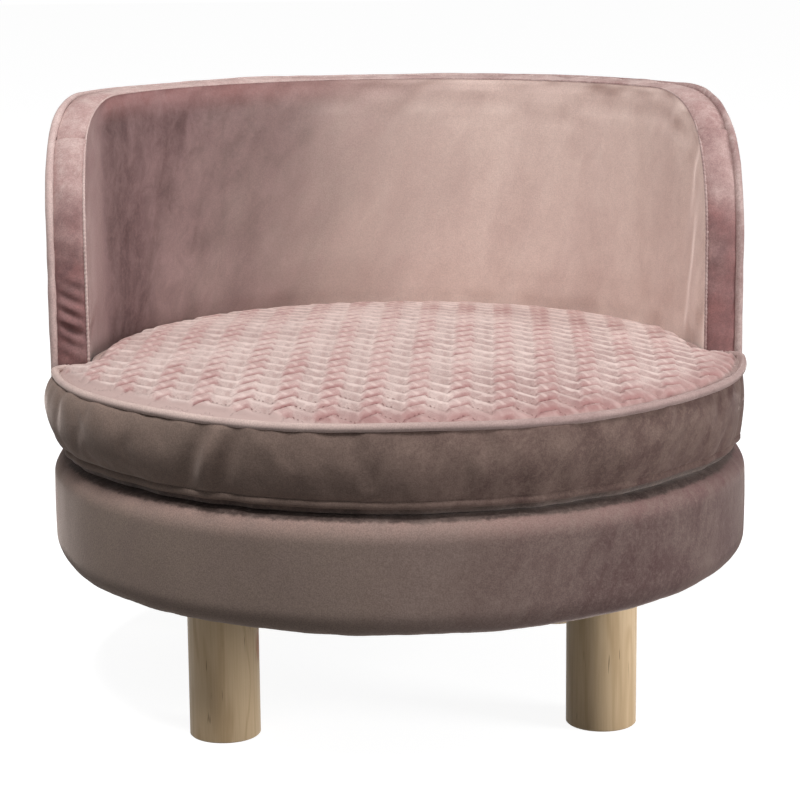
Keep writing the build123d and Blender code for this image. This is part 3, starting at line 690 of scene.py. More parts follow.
def quilt_velvet():
    """Pink velvet of the quilted top: painted highlights on the ribs that run down to the right, painted
    shade in the valleys that run up to the right.
    """
    size, tones = sizes(), look()
    half = size.quilt_pitch / 2

    def paint(tree, shader):
        turned_across, turned_along, _ = split_place(tree, size.quilt_turn)
        across = turned_across + grain(tree, 70, 2) * 0.0044 - (size.quilt_start + 0.0022)
        turned_along = turned_along + grain(tree, 110, 2, scale=(1, 1, 1.7)) * 0.0050 - 0.0025
        from_point = across.math("PINGPONG", half)
        place = across.math("WRAP", 2 * half, 0.0)
        rising = place.span(-0.0008, 0.0040) * place.span(half + 0.0040, half - 0.0030)
        course = (turned_along - from_point * (size.quilt_rise / half)) / size.quilt_row
        from_crest = (course - rising * size.quilt_step).from_half()
        to_right = turned_across - turned_along * 0.8
        # Pale on the falling slope and pinker and darker on the rising one: painted light and shade with the
        # pile's tone
        ground = rising.mix(tones.quilt_pale, tones.quilt_pink)
        ground = to_right.span(0.11, 0.30, 0.0, 0.80).mix(ground, tones.quilt_side)
        made = pile(tree, shader, (ground, tones.quilt_light), (13.0, 0.50), (60.0, 0.1), mottle=0.22)

        # Painted highlights on the crests of one slope of the zigzag, and painted glints and painted shade
        # in the valleys of the other
        rough = grain(tree, 22, 4, 0.65).span(0.36, 0.60, 0.50, 1.0)
        crest = from_crest.span(0.17, 0.05) * math_node(tree, "SUBTRACT", 1.0, rising) * rough
        tone = (crest * 0.85).mix(made["Color"], tones.quilt_light)
        steep = (course + place * (1 / 0.00787) - 0.763).from_half()
        glint = steep.span(0.20, 0.06) * from_crest.span(0.46, 0.30) * rising
        tone = (glint * 0.45).mix(tone, tones.quilt_light)
        # Painted shade in the valleys
        front = turned_along.span(-0.13, -0.20, 0.72, 0.95)
        tone = (from_crest.span(0.22, 0.46) * rising * front * rough).mix(tone, tones.quilt_valley_shade)

        # Painted shade in the small dips beside the front points, and the pricks of the stitches
        beside = (place - (2 * half - 0.0043)) / 0.0020
        below = (course.math("FRACT") - 0.18) / 0.19
        dip = (beside * beside + below * below).span(1.5, 0.0, 0.0, 0.60) * rough
        tone = dip.mix(tone, tones.quilt_dip_shade)
        prick = (across / 0.0030).from_half().span(0.26, 0.14) * from_crest.span(0.44, 0.48)
        tone = (prick * turned_along.span(-0.15, -0.20, 0.10, 0.70)).mix(tone, tones.quilt_prick)

        # Painted shade with a deeper pink where the edge rolls over at the right front, and the plain edge
        across, along, _ = split_place(tree)
        radius = from_axis(across, along)
        rolled = radius.span(0.205, 0.230, 0.0, 0.62) * to_right.span(0.04, 0.20)
        tone = rolled.mix(tone, tones.quilt_side)
        tone = quilt_edge(across, along, radius).mix(tone, tones.quilt_pale)
        height = math_node(tree, "SUBTRACT", made["Height"], prick * 2.0)
        surface(tree, shader, tone, made["Roughness"], height, 0.0004, 0.6)

    return finished("Quilted velvet", paint)


def quilt_edge(across, along, radius):
    """The plain edge in front of the quilting, widest at the left front."""
    size = sizes()
    lean = across * math.cos(size.wide_margin_turn) + along * math.sin(size.wide_margin_turn)
    wide = (lean / radius).span(0.80, 1.0, 0.0, size.quilt_wide_margin)
    limit = size.seam_front - size.quilt_margin
    return (radius + wide).span(limit - 0.004, limit)


def wood_group():
    """Straight grain along Z: growth rings in bands, fine fibres, and short dark pores."""
    name = "Wood grain"
    if name in bpy.data.node_groups:
        return bpy.data.node_groups[name]
    colours = {"Early wood": (0.6, 0.45, 0.28, 1), "Late wood": (0.4, 0.25, 0.12, 1)}
    numbers = {"Rings per metre": 70.0, "Ring strength": 0.5, "Pore strength": 0.6}
    group, source, sink = new_group(name, colours, numbers)
    rings_across = grain(group, source["Rings per metre"], 1, 0.4, 0.6, scale=(1, 1, 0.12))
    bands = (rings_across * 9).math("PINGPONG", 1.0).span(0.55, 1.0)
    fibres = grain(group, 900, 3, 0.6, scale=(1, 1, 0.03))
    pores = grain(group, 520, 1, 0.5, scale=(1, 1, 0.09)).span(0.70, 0.78)
    share = (bands * source["Ring strength"]).math("ADD", fibres.span(0.35, 0.7) * 0.22, clamp=True)
    tone = share.mix(source["Early wood"], source["Late wood"])
    tone = (pores * source["Pore strength"]).mix(tone, (0.16, 0.085, 0.04))
    feed(group, sink["Color"], tone)
    feed(group, sink["Roughness"], fibres.span(0.3, 0.7, 0.42, 0.58))
    feed(group, sink["Height"], fibres - pores)
    return group


def wood(name, light, dark, rings_per_metre, ring_strength, pore_strength, streak=None):
    """A wood; streak holds the place of a resin streak, its reach in metres, and its colour."""

    def paint(tree, shader):
        inputs = {
            "Early wood": light, "Late wood": dark, "Rings per metre": rings_per_metre,
            "Ring strength": ring_strength, "Pore strength": pore_strength,
        }
        made = add_node(tree, "Group", inputs, node_tree=wood_group()).outputs
        tone = made["Color"]
        if streak:
            centre, reach, tint = streak
            offset = add_node(tree, "VectorMath", {0: object_place(tree), 1: centre}, operation="SUBTRACT")
            scaled = add_node(tree, "VectorMath", {0: offset.outputs[0], 1: reach}, operation="DIVIDE")
            apart = add_node(tree, "VectorMath", {0: scaled.outputs[0]}, operation="LENGTH")
            tone = Field(tree, apart.outputs["Value"]).span(1.0, 0.35, 0.0, 0.75).mix(tone, tint)
        shader.inputs["Specular IOR Level"].default_value = 0.35
        surface(tree, shader, tone, made["Roughness"], made["Height"], 0.0002, 0.35)

    return finished(name, paint)


def plain_cloth(name, tone, threads_per_metre, roughness_low, roughness_high):
    """A plain cloth, tape or nylon with a fine even grain."""

    def paint(tree, shader):
        threads = grain(tree, threads_per_metre, 3, 0.6)
        lighter = [min(1.0, value * 1.9 + 0.004) for value in tone]
        mixed = threads.span(0.35, 0.65, 0.0, 0.6).mix(tone, lighter)
        roughness = threads.span(0.3, 0.7, roughness_low, roughness_high)
        surface(tree, shader, mixed, roughness, threads, 0.0003, 0.5)

    return finished(name, paint)


def brushed_metal(name, tone):
    """Plated steel with a fine uneven polish."""

    def paint(tree, shader):
        polish = grain(tree, 700, 3, 0.6, scale=(1, 1, 6))
        mixed = polish.span(0.35, 0.7).mix(tone, [value * 0.72 for value in tone])
        shader.inputs["Metallic"].default_value = 1.0
        surface(tree, shader, mixed, polish.span(0.3, 0.7, 0.22, 0.42), polish, 0.0001, 0.3)

    return finished(name, paint)


# Base


def build_base_cover():
    """The velvet cover of the round base, turned in under its lower edge."""
    size = sizes()
    radius, low, high = size.body_radius, size.base_bottom, size.base_top
    low_round, high_round = size.base_bottom_round, size.base_top_round
    quarter = np.linspace(0, np.pi / 2, 16)
    hem = np.linspace(size.hem_radius, radius - low_round, 8)[:-1]
    side = np.linspace(low + low_round, high - high_round, 22)[1:-1]
    top = np.linspace(radius - high_round, 0.004, 34)[1:]
    reach = np.concatenate([
        hem,
        radius - low_round + low_round * np.sin(quarter),
        np.full(len(side), radius),
        radius - high_round + high_round * np.cos(quarter),
        top,
    ])
    height = np.concatenate([
        np.full(len(hem), low),
        low + low_round - low_round * np.cos(quarter),
        side,
        high - high_round + high_round * np.sin(quarter),
        np.full(len(top), high),
    ])
    columns = 600
    turns = np.linspace(0, 2 * np.pi, columns, endpoint=False)
    points = rings(reach[:, None], height[:, None], turns)
    above = points[:, 2] - low
    axis_distance = np.hypot(points[:, 0], points[:, 1])
    from_hem = axis_distance - size.hem_radius
    bulge = 0.0008 * np.sin(np.pi * np.clip(above / (high - low), 0, 1))
    soft = noise(points * (1, 1, 0.45), 0.055) * 0.0006 + noise(points * (1, 1, 0.8), 0.02, 1) * 0.00015
    around = points / np.maximum(axis_distance, 0.01)[:, None] * radius
    gathers = noise(around * (1, 1, 0.1), 0.011, 2) * 0.0007 * np.exp(-np.abs(from_hem + 2 * above) / 0.016)
    relief = (bulge + soft) * ease(axis_distance, 0.20, 0.225) + gathers * (points[:, 2] < low + 0.03)
    free = np.minimum(ease(from_hem + above, 0.001, 0.02), ease(axis_distance, 0.19, 0.225))
    points = points + swollen_grid(points, len(reach), columns, free, 0.0012, size.slack, 2, wrap=True)
    faces = grid_faces(len(reach), columns, wrap=True, filled=True)
    piece = add_piece(
        "base_cover_velvet", points, faces, base_velvet(), "velvet", relief=relief,
        replaces=("base_cover", "base_side_foam", "base_top_foam"),
    )


def build_dust_cover():
    """The black cloth under the base, stapled over the velvet's hem."""
    edge = dust_high.x
    step = sizes().hem_radius - 0.001
    inside_edge = 0.0004
    low_part = [edge, edge - 0.002, (edge + step) / 2, step + 0.001]
    high_part = [step - 0.001, 0.16, 0.10, 0.05, 0.004]
    reach = np.array(low_part + high_part)
    levels = [dust_low.z + inside_edge, dust_high.z - inside_edge]
    height = np.repeat(levels, [len(low_part), len(high_part)])
    columns = 240
    points = rings(reach[:, None], height[:, None], -np.linspace(0, 2 * np.pi, columns, endpoint=False))
    sag = noise(points, 0.05, 3) * 0.0003
    cloth = plain_cloth("Dust cover cloth", look().lining, 1400, 0.75, 0.95)
    faces = grid_faces(len(reach), columns, wrap=True, filled=True)
    piece = add_piece(
        "dust_cover_cloth", points, faces, cloth, "lining", relief=sag, replaces=("dust_cover",),
    )


def build_staples():
    """The staples that hold the dust cover's edge."""
    crown, wire, count, sunk = 0.0100, 0.0006, 44, 0.0004
    radius = dust_high.x - 0.005
    staples = []
    for place in range(count):
        turn = 2 * math.pi * (place + 0.3 * math.sin(7.0 * place)) / count
        lean = turn + math.pi / 2 + 0.12 * math.sin(3.1 * place)
        middle = (radius * math.cos(turn), radius * math.sin(turn), dust_low.z + (sunk - wire) / 2)
        along = np.array([math.cos(lean), math.sin(lean), 0])
        across = np.array([-along[1], along[0], 0])
        staples.append([middle, along * crown / 2, across * wire, (0, 0, -(sunk + wire) / 2)])
    add_blocks("staples", staples, brushed_metal("Zinc plate", look().zinc), "zinc_steel")


# Backrest

seam_inset = 0.0008


def back_outline(radius, inset=0.0, spacing=0.002):
    """Points along the backrest's edge at that radius, from the left arm's foot over the top to the
    right arm's foot, and the direction that leaves the edge at each."""
    size = sizes()
    front = size.arm_front + inset
    top = size.backrest_top - inset
    bend = size.arm_corner_radius - inset
    centre_y = front + bend
    centre_z = top - bend
    upright = np.linspace(size.base_top, centre_z, int((centre_z - size.base_top) / spacing))[:-1]
    turn = np.linspace(0, np.pi / 2, int(bend * np.pi / 2 / spacing))
    start = math.asin(centre_y / radius)
    half = np.linspace(start, np.pi / 2, int(size.body_radius * 1.1 / spacing))[1:]
    away_y = np.concatenate([np.full(len(upright), -1.0), -np.cos(turn), np.zeros(len(half))])
    away_z = np.concatenate([np.zeros(len(upright)), np.sin(turn), np.ones(len(half))])
    y = np.concatenate([np.full(len(upright), front), centre_y - bend * np.cos(turn), radius * np.sin(half)])
    z = np.concatenate([upright, centre_z + bend * np.sin(turn), np.full(len(half), top)])
    x = np.sqrt(np.maximum(radius**2 - y**2, 0))
    right = np.stack([x, y, z], axis=1)
    away = np.stack([0 * y, away_y, away_z], axis=1)
    return np.concatenate([right * (-1, 1, 1), right[::-1][1:]]), np.concatenate([away, away[::-1][1:]])


def foot_tuck(height):
    """How far the backrest's outer side draws in just above the base."""
    return 0.0060 * np.clip(1 - (height - sizes().base_top) / 0.014, 0, 1) ** 2


def tucked(points):
    """A line on the backrest's outer side, drawn in just above the base."""
    return points - points * no_depth / sizes().body_radius * foot_tuck(points[:, 2])[:, None]


def unrolled(points, radius):
    """The place on a cylinder as (length round it, height)."""
    return np.stack([np.arctan2(points[:, 1], points[:, 0]) * radius, points[:, 2]], axis=1)


def wall_grid(radius, inset, column_gap=0.0022, rows=110):
    """Points on a cylinder below the backrest's edge, row by row, with their faces, their distance to that
    edge and their unrolled places."""
    size = sizes()
    front = size.arm_front + inset
    top = size.backrest_top - inset
    bend = size.arm_corner_radius - inset
    share = np.linspace(-1, 1, int(np.pi * radius / column_gap))
    angles = np.pi / 2 + share * (np.pi / 2 - math.asin(front / radius))
    depth = np.clip(front + bend - radius * np.sin(angles), 0, bend)
    edge = np.where(depth > 0, top - bend + np.sqrt(np.maximum(bend**2 - depth**2, 0)), top)
    rise = 1 - (1 - np.linspace(0, 1, rows)) ** 1.25
    points = rings(radius, size.base_top + (edge - size.base_top)[None, :] * rise[:, None], angles)
    line, _ = back_outline(radius, inset, 0.0015)
    flat = unrolled(points, radius)
    return points, grid_faces(rows, len(angles)), nearest_distance(flat, unrolled(line, radius)), flat


def seam_puckers(along, away, size, depth, reach, shift):
    """Short creases square to a seam that fade away from it; along is a length or a place from above."""
    if np.ndim(along) == 1:
        along = np.stack([along, 0 * along], axis=1)
    spots = np.column_stack([along, away * 0.12])
    return noise(spots, size, shift) * depth * np.exp(-away / reach)


def build_backrest_inner():
    """The backrest's inner face: velvet over foam, rolled over into its edge seam."""
    size = sizes()
    rows = 110
    points, faces, away, flat = wall_grid(size.inner_radius, seam_inset, rows=rows)
    run, height = flat.T
    soft = 0.0014 * (1 - np.exp(-away / 0.025)) * ease(height, 0.235, 0.27)
    roll = -0.0003 * np.clip(1 - away / 0.004, 0, 1) ** 2
    streaks = noise(np.stack([run, height * 0.18, 0 * run], axis=1), 0.020, 4) * 0.0008
    folds = noise(points * (1, 1, 0.3), 0.06, 5) * 0.0010
    slanted = np.stack([run + 0.30 * height, height * 0.10, 0 * run], axis=1)
    folds += noise(slanted, 0.017, 31) * 0.0017 * ease(points[:, 0], 0.06, 0.15)
    puckers = seam_puckers(run + height, away, 0.014, 0.0007, 0.022, 6)
    clear = ease(height, 0.225, 0.25)
    free = ease(away, 0.001, 0.012) * ease(height, 0.220, 0.245)
    points = points - swollen_grid(points, rows, len(points) // rows, free, 0.0012, size.slack)
    creases = (streaks + folds) * clear * ease(away, 0, 0.01)
    relief = soft + roll + creases + puckers * ease(away, 0, 0.004)
    piece = add_piece(
        "backrest_inner_velvet", points, faces[:, ::-1], backrest_velvet(), "velvet", relief=relief,
        replaces=("backrest_inner_cover", "backrest_inner_foam"),
    )


def build_backrest_outer():
    """The backrest's outer face: velvet over wadding and a bent panel."""
    points, faces, away, flat = wall_grid(sizes().body_radius, 0.0030, column_gap=0.003, rows=80)
    roll = -0.0012 * np.clip(1 - away / 0.004, 0, 1) ** 2
    folds = noise(points * (1, 1, 0.35), 0.07, 8) * 0.0006
    puckers = seam_puckers(flat[:, 0] + flat[:, 1], away, 0.012, 0.0005, 0.014, 9)
    relief = roll - foot_tuck(points[:, 2]) + folds * ease(away, 0, 0.01) + puckers * ease(away, 0, 0.003)
    piece = add_piece(
        "backrest_outer_velvet", points, faces, backrest_velvet(), "velvet", relief=relief,
        replaces=("backrest_outer_cover", "backrest_outer_padding", "backrest_bottom_strip"),
    )


def build_backrest_bands():
    """The strip between the inner seam and the piping, in three lengths with seams across it."""
    size = sizes()
    steps, spacing = 15, 0.002
    inner, away = back_outline(size.inner_radius, seam_inset, spacing)
    outer = tucked(back_outline(size.body_radius - 0.0030, 0.0012, spacing)[0])
    count = min(len(inner), len(outer))
    inner, away, outer = (resample(line, count) for line in (inner, away, outer))
    share = np.linspace(0, 1, steps)[None, :]
    across = (1 - share)[..., None] * inner[:, None, :] + share[..., None] * outer[:, None, :]
    height = across[..., 2]
    middle = np.sin(np.pi * share)
    run = lengths_along(inner)[:, None]
    spot = np.stack(np.broadcast_arrays(run, share * 0.01, 0.0), axis=-1).reshape(-1, 3)
    creases = noise(spot * (1, 0.4, 1), 0.009, 10) * 0.0007 + noise(spot, 0.035, 11) * 0.0008
    creases = creases.reshape(count, steps) * middle ** 0.5
    low_wrinkles = bell(height, 0.262, 0.022) * (across[..., 0] < 0)
    creases += 0.0019 * low_wrinkles * np.sin(2 * np.pi * (height / 0.0105 - share * 0.9)) * middle
    fold_height = 0.265 - 0.056 * (1 - share)
    outer_half = ease(share, 0.45, 0.7) * (across[..., 0] > 0)
    creases -= 0.0018 * bell(height, fold_height, 0.004) * outer_half * middle ** 0.5
    crown = 0.0026 * (1 - (2 * share - 1) ** 2) ** 0.6
    places = across + away[:, None, :] * (crown + creases)[..., None]
    crossing = np.argsort(np.abs(inner[:, 2] - size.band_seam_height))
    left_seam = crossing[np.flatnonzero(inner[crossing, 0] < 0)[0]]
    right_seam = crossing[np.flatnonzero(inner[crossing, 0] > 0)[0]]
    ranges = {
        "backrest_band_left": (0, left_seam + 1),
        "backrest_band_top": (left_seam, right_seam + 1),
        "backrest_band_right": (right_seam, count),
    }
    for node, (start, end) in ranges.items():
        from_start = np.arange(end - start) * spacing
        from_end = from_start[::-1]
        if node == "backrest_band_top":
            groove = 0.0020 * np.clip(1 - np.minimum(from_start, from_end) / 0.006, 0, 1) ** 2
        else:
            far = from_start if node == "backrest_band_right" else from_end
            groove = 0.0030 * np.clip(1 - far / 0.0025, 0, 1) ** 2 - 0.0012 * bell(far, 0.004, 0.006)
        part = places[start:end] - (away[start:end] * groove[:, None])[:, None, :]
        piece = add_piece(
            node + "_velvet", part.reshape(-1, 3), grid_faces(len(part), steps), band_velvet(), "velvet",
            replaces=(node,),
        )


def resample(points, count):
    """That many points spread along a line in even steps of its own index."""
    old = np.linspace(0, 1, len(points))
    new = np.linspace(0, 1, count)
    return np.stack([np.interp(new, old, points[:, axis]) for axis in range(3)], axis=1)


def build_backrest_welt():
    """The stitched seam between the backrest's inner face and its edge band."""
    size = sizes()
    path, away = back_outline(size.inner_radius, seam_inset, 0.0010)
    stitch = 0.5 + 0.5 * np.cos(2 * np.pi * lengths_along(path) / size.stitch_length)
    on_top = ease(path[:, 2], 0.36, 0.395)
    slim = 1 - 0.45 * on_top
    path = path + path * no_depth / size.inner_radius * 0.0007 * on_top[:, None]
    path = path + away * ((0.0009 - 0.0004 * stitch) * slim)[:, None]
    points, faces = tube(path, (0.0011 - 0.0003 * stitch) * slim, sides=8)
    add_piece("backrest_seam_welt", points, faces, backrest_piping_velvet(), "velvet")


def build_backrest_piping():
    """The covered cord round the backrest's outer edge."""
    size = sizes()
    inset = size.cover_thickness / 2
    path, away = back_outline(size.body_radius - inset, inset, 0.0025)
    run = lengths_along(path)
    spot = np.stack([run, 0 * run, 0 * run], axis=1)
    path = tucked(path + away * (noise(spot, 0.09, 12) * 0.0005)[:, None])
    points, faces = tube(path, size.piping_radius * (1 + 0.05 * noise(spot, 0.012, 13)))
    add_piece(
        "backrest_piping_velvet", points, faces, backrest_piping_velvet(), "velvet",
        replaces=("backrest_piping",),
    )


# Cushion


def cushion_outline(spacing=0.0015):
    """The cushion's seam line from above, anticlockwise, and its outward directions.
    The line is an arc in front, an ear on each side in front of the arm, and an arc between the arms."""
    size = sizes()
    edge, big, small = size.seam_ear, size.ear_round, size.ear_inner_round
    corner_y = -(edge + big)
    corner_x = math.sqrt((size.seam_front - big) ** 2 - corner_y**2)
    notch_y = -(edge - small)
    notch_x = math.sqrt((size.seam_rear + small) ** 2 - notch_y**2)
    front = math.atan2(corner_y, corner_x)
    rear = math.atan2(notch_y, notch_x)

    def arc(x, y, radius, start, end, outward):
        count = max(4, int(abs(end - start) * radius / spacing))
        turn = np.linspace(start, end, count, endpoint=False)
        facing = np.stack([np.cos(turn), np.sin(turn)], axis=1)
        return np.array([x, y]) + facing * radius, facing * outward

    count = max(3, int((corner_x - notch_x) / spacing))
    across = np.linspace(corner_x, notch_x, count, endpoint=False)
    half = [
        arc(0, 0, size.seam_front, -math.pi / 2, front, 1),
        arc(corner_x, corner_y, big, front, math.pi / 2, 1),
        (np.stack([across, np.full(count, -edge)], axis=1), np.tile([0.0, 1.0], (count, 1))),
        arc(notch_x, notch_y, small, -math.pi / 2, -math.pi + rear, -1),
        arc(0, 0, size.seam_rear, rear, math.pi / 2, 1),
        ([[0, size.seam_rear]], [[0, 1]]),
    ]
    halves = [np.concatenate(parts) for parts in zip(*half)]
    return [np.concatenate([line, line[::-1][1:-1] * (-1, 1)]) for line in halves]


def crown_height(x, y):
    """Rise of the crowned cushion over its seam."""
    size = sizes()
    return size.cushion_crown * (1 - (x**2 + y**2) / (size.seam_front - size.piping_radius) ** 2)


def quilt_height(x, y):
    """The quilting's ribs, which zigzag across the cushion row by row.
    Each has a wide crest where it slopes down to the right and a narrow valley where it slopes up."""
    size = sizes()
    turn, half = size.quilt_turn, size.quilt_pitch / 2
    across = x * math.cos(turn) - y * math.sin(turn) - size.quilt_start
    along = x * math.sin(turn) + y * math.cos(turn)
    place = np.mod(across, 2 * half)
    from_point = np.minimum(place, 2 * half - place)
    rising = ease(place, 0, 0.002) * (1 - ease(place, half - 0.001, half + 0.0015))
    course = (along - from_point * size.quilt_rise / half) / size.quilt_row
    from_crest = np.abs(np.mod(course - size.quilt_step * rising, 1.0) - 0.5)
    falling_rib = 0.62 * np.clip(1 - (from_crest / 0.50) ** 2.5, 0, 1) + 0.38 * bell(from_crest, 0, 0.13)
    rising_rib = np.clip(1 - (from_crest / 0.50) ** 3.0, 0, 1) ** 0.8
    level = falling_rib * (1 - rising) + rising_rib * rising
    dip = 0.5 * bell(place, 2 * half - 0.0043, 0.0018) * bell(np.mod(course, 1.0), 0.18, 0.17)
    return size.quilt_loft * (level - dip)


def fill_outline(loops, spacing, keep_off):
    """Triangles over the area inside the first loop, with the other loops and an even grid as points."""
    outline = loops[0]
    span = np.arange(-0.25, 0.25, spacing)
    xs, ys = np.meshgrid(span, span)
    ys = ys + np.where(np.arange(len(span)) % 2 == 0, 0.0, spacing / 2)[None, :]
    inner = np.stack([xs.ravel(), ys.ravel()], axis=1)
    inner = inner[inside(inner, loops[-1])]
    inner = inner[nearest_distance(inner, loops[-1]) > keep_off]
    points = np.concatenate([*loops, inner])
    border = [list(range(len(outline)))]
    inside_only, tolerance = 1, 1e-7
    corners = [Vector(point) for point in points]
    return points, delaunay_2d_cdt(corners, [], border, inside_only, tolerance)[2]


def inside(points, loop):
    """Which points lie inside a closed loop."""
    result = np.zeros(len(points), bool)
    for (x1, y1), (x2, y2) in zip(loop, np.roll(loop, -1, axis=0)):
        if y1 != y2:
            crosses = (y1 > points[:, 1]) != (y2 > points[:, 1])
            reach = x1 + (points[:, 1] - y1) * (x2 - x1) / (y2 - y1)
            result ^= crosses & (points[:, 0] < reach)
    return result


def cushion_top_swelling(flat):
    """How far the filling lifts the cushion's top at places given from above."""
    size = sizes()
    outline, _ = cushion_outline(0.0045)
    coarse, triangles = fill_outline([outline], 0.006, 0.003)
    away = nearest_distance(coarse, outline)
    points = np.column_stack([coarse, size.seam_height + crown_height(coarse[:, 0], coarse[:, 1])])
    shift = swell(points, triangles, ease(away, 0.001, 0.012), 0.0014, size.slack)
    flat, level = (np.column_stack([places, np.zeros(len(places))]) for places in (flat, coarse))
    return follow(flat, level, shift, 0.006)[:, 2]


def build_cushion_top():
    """The crowned top of the cushion, quilted in zigzags up to a plain edge."""
    size = sizes()
    outline, facing = cushion_outline()
    loops = [outline - facing * inset for inset in (0.0012, 0.0028, 0.0042)]
    spacing = 0.0016
    flat, triangles = fill_outline(loops, spacing, spacing * 0.7)
    away = nearest_distance(flat, outline)
    x, y = flat[:, 0], flat[:, 1]
    turn = np.arctan2(y, x)
    left_front = bell(np.mod(turn, 2 * np.pi), size.wide_margin_turn, 0.38)
    margin = size.quilt_margin + size.quilt_wide_margin * left_front
    rolled = 0.0042 * (1 - np.exp(-np.maximum(away - 0.001, 0) / 0.0035)) - 0.0030
    waves = noise(np.stack([x, y, 0 * x], axis=1), 0.07, 20) * 0.0006 * ease(away, 0, 0.03)
    gathered = 0.0008 + 0.0016 * ease(x, 0.12, 0.21)
    puckers = seam_puckers(turn * 0.22, away, 0.010, 1.0, 0.014, 21) * gathered * ease(away, 0.0025, 0.006)
    height = size.seam_height + crown_height(x, y) + rolled + waves + cushion_top_swelling(flat) + puckers
    height += quilt_height(x, y) * ease(away - margin, 0, 0.005)
    piece = add_piece(
        "cushion_quilt", np.stack([x, y, height], axis=1), triangles, quilt_velvet(), "cushion_velvet",
        body="cushion", replaces=("cushion_top_panel", "cushion_foam"),
    )


def cushion_side(swollen=False):
    """Places on the cushion's side, row by row from the upper seam down, and the seam line's own values.
    Swollen asks for the cloth simulation too, which leaves both seams in place."""
    size = sizes()
    rows = 44
    outline, facing = cushion_outline()
    share = np.linspace(0, 1, rows)[:, None]
    top = size.seam_height - size.piping_radius * 0.4
    drop = share * (top - size.cushion_bottom - 0.0092)
    x, y = outline[None, :, 0], outline[None, :, 1]
    in_front = ease(-y, -0.01, 0.02)
    at_left = ease(-x, 0.10, 0.235) * in_front
    at_sides = ease(np.abs(x), 0.19, 0.236) * in_front
    at_right = ease(x, 0.15, 0.235) * in_front
    bulge = size.cushion_bulge * (0.1 + 0.9 * in_front - 0.6 * at_right) + size.left_bulge * at_left
    tuck = size.cushion_tuck * in_front * (1 - 0.75 * at_sides)
    offset = bulge * np.sin(np.pi * share**0.85) ** 0.7 - tuck * share**2.6
    spot = np.stack(np.broadcast_arrays(x, y, drop), axis=-1).reshape(-1, 3)
    from_seam = spot[:, 2]
    puckers = seam_puckers(spot[:, :2], from_seam, 0.012, 0.0010, 0.010, 22)
    low_puckers = seam_puckers(spot[:, :2], from_seam.max() - from_seam, 0.015, 0.0008, 0.008, 23)
    soft = noise(spot * (1, 1, 0.7), 0.05, 24) * 0.0010 + noise(spot * (1, 1, 0.5), 0.02, 25) * 0.0004
    offset = offset + (puckers + low_puckers + soft).reshape(rows, -1) * in_front

    # Folds that run down the side, each with its place in degrees, its height and its width in degrees
    folds = ((-126.0, -0.0030, 1.7), (-122.9, 0.0034, 1.4), (-119.8, -0.0022, 1.6), (-9.5, -0.0026, 1.2))
    turn = np.degrees(np.arctan2(y, x))
    for place, height, width in folds:
        leaned = place - 4.6 * (share - 0.5)
        offset = offset + height * bell(turn, leaned, width) * np.sin(np.pi * share) ** 0.6
    offset = offset - 0.0010 * np.exp(-share / 0.02)

    # The recess that the zip lies in, with its two lips
    zip_half = (tape_high.z - tape_low.z) / 2
    from_zip = np.abs(top - drop - tape_low.z - zip_half)
    along_zip = ease(y, tape_low.y - 0.002, tape_low.y + 0.002)
    slot = ease(-from_zip, -zip_half - 0.0003, -zip_half + 0.0010) * along_zip
    lips = 0.0006 * bell(from_zip, zip_half + 0.0014, 0.0012) * along_zip
    offset = (offset + lips) * (1 - slot) - 0.0016 * slot
    level = np.broadcast_to(top - drop, offset.shape)
    places = np.stack([x + facing[None, :, 0] * offset, y + facing[None, :, 1] * offset, level], axis=-1)
    if swollen:
        free = ease(share, 0, 0.12) * ease(1 - share, 0, 0.12) * in_front
        columns = len(outline)
        shift = swollen_grid(places[:, ::-1], rows, columns, free[:, ::-1], 0.0020, size.slack, wrap=True)
        places = places + shift.reshape(rows, columns, 3)[:, ::-1]
    return places, outline, facing, in_front[0]


def build_cushion_bands():
    """The cushion's side in four lengths: swelling in front, tucked in below, nearly flat behind."""
    size = sizes()
    places, outline, _, _ = cushion_side(swollen=True)
    corner = -(size.seam_ear + size.ear_round)
    notch = -(size.seam_ear - size.ear_inner_round)
    at_right = outline[:, 0] > 0
    right_front = int(np.flatnonzero((outline[:, 1] >= corner) & at_right)[0])
    rear_start = int(np.flatnonzero((outline[:, 1] >= notch + 0.001) & at_right)[0])
    count = len(outline)
    left_front = count - right_front
    rear_end = count - rear_start
    ranges = {
        "cushion_front_band": [*range(left_front, count), *range(right_front + 1)],
        "cushion_ear_right": range(right_front, rear_start + 1),
        "cushion_rear_band": range(rear_start, rear_end + 1),
        "cushion_ear_left": range(rear_end, left_front + 1),
    }
    for node, columns in ranges.items():
        part = places[:, list(columns)]
        faces = grid_faces(len(part), len(columns))[:, ::-1]
        piece = add_piece(
            node + "_velvet", part.reshape(-1, 3), faces, cushion_velvet(), "cushion_velvet", body="cushion",
            replaces=(node,),
        )


def build_cushion_bottom():
    """The underside of the cushion, rolled up to a low seam that lies in a narrow groove."""
    size = sizes()
    places, _, facing, in_front = cushion_side()
    edge = places[-1, :, :2]
    count = len(edge)
    proud = 0.0002 * in_front
    steps = [
        (-0.0008, 0.0090), (-0.0004, 0.0084), (proud, 0.0074), (proud, 0.0054), (-0.0006, 0.0042),
        (-0.0034, 0.0030), (-0.0050, 0.0),
    ]
    loops = [places[-1]]
    for reach, lift in steps:
        out = edge + facing * np.broadcast_to(reach, count)[:, None]
        loops.append(np.column_stack([out, np.full(count, size.cushion_bottom + lift)]))
    flat, triangles = fill_outline([loops[-1][:, :2]], 0.006, 0.004)
    middle = np.column_stack([flat, np.full(len(flat), size.cushion_bottom)])
    faces = grid_faces(len(loops), count, wrap=True)[:, ::-1].tolist()
    start = (len(loops) - 1) * count
    faces += [[index + start for index in face[::-1]] for face in triangles]
    points = np.concatenate([*loops, middle[count:]])
    piece = add_piece(
        "cushion_underside", points, faces, cushion_velvet(), "cushion_velvet", body="cushion",
        replaces=("cushion_bottom_panel",),
    )


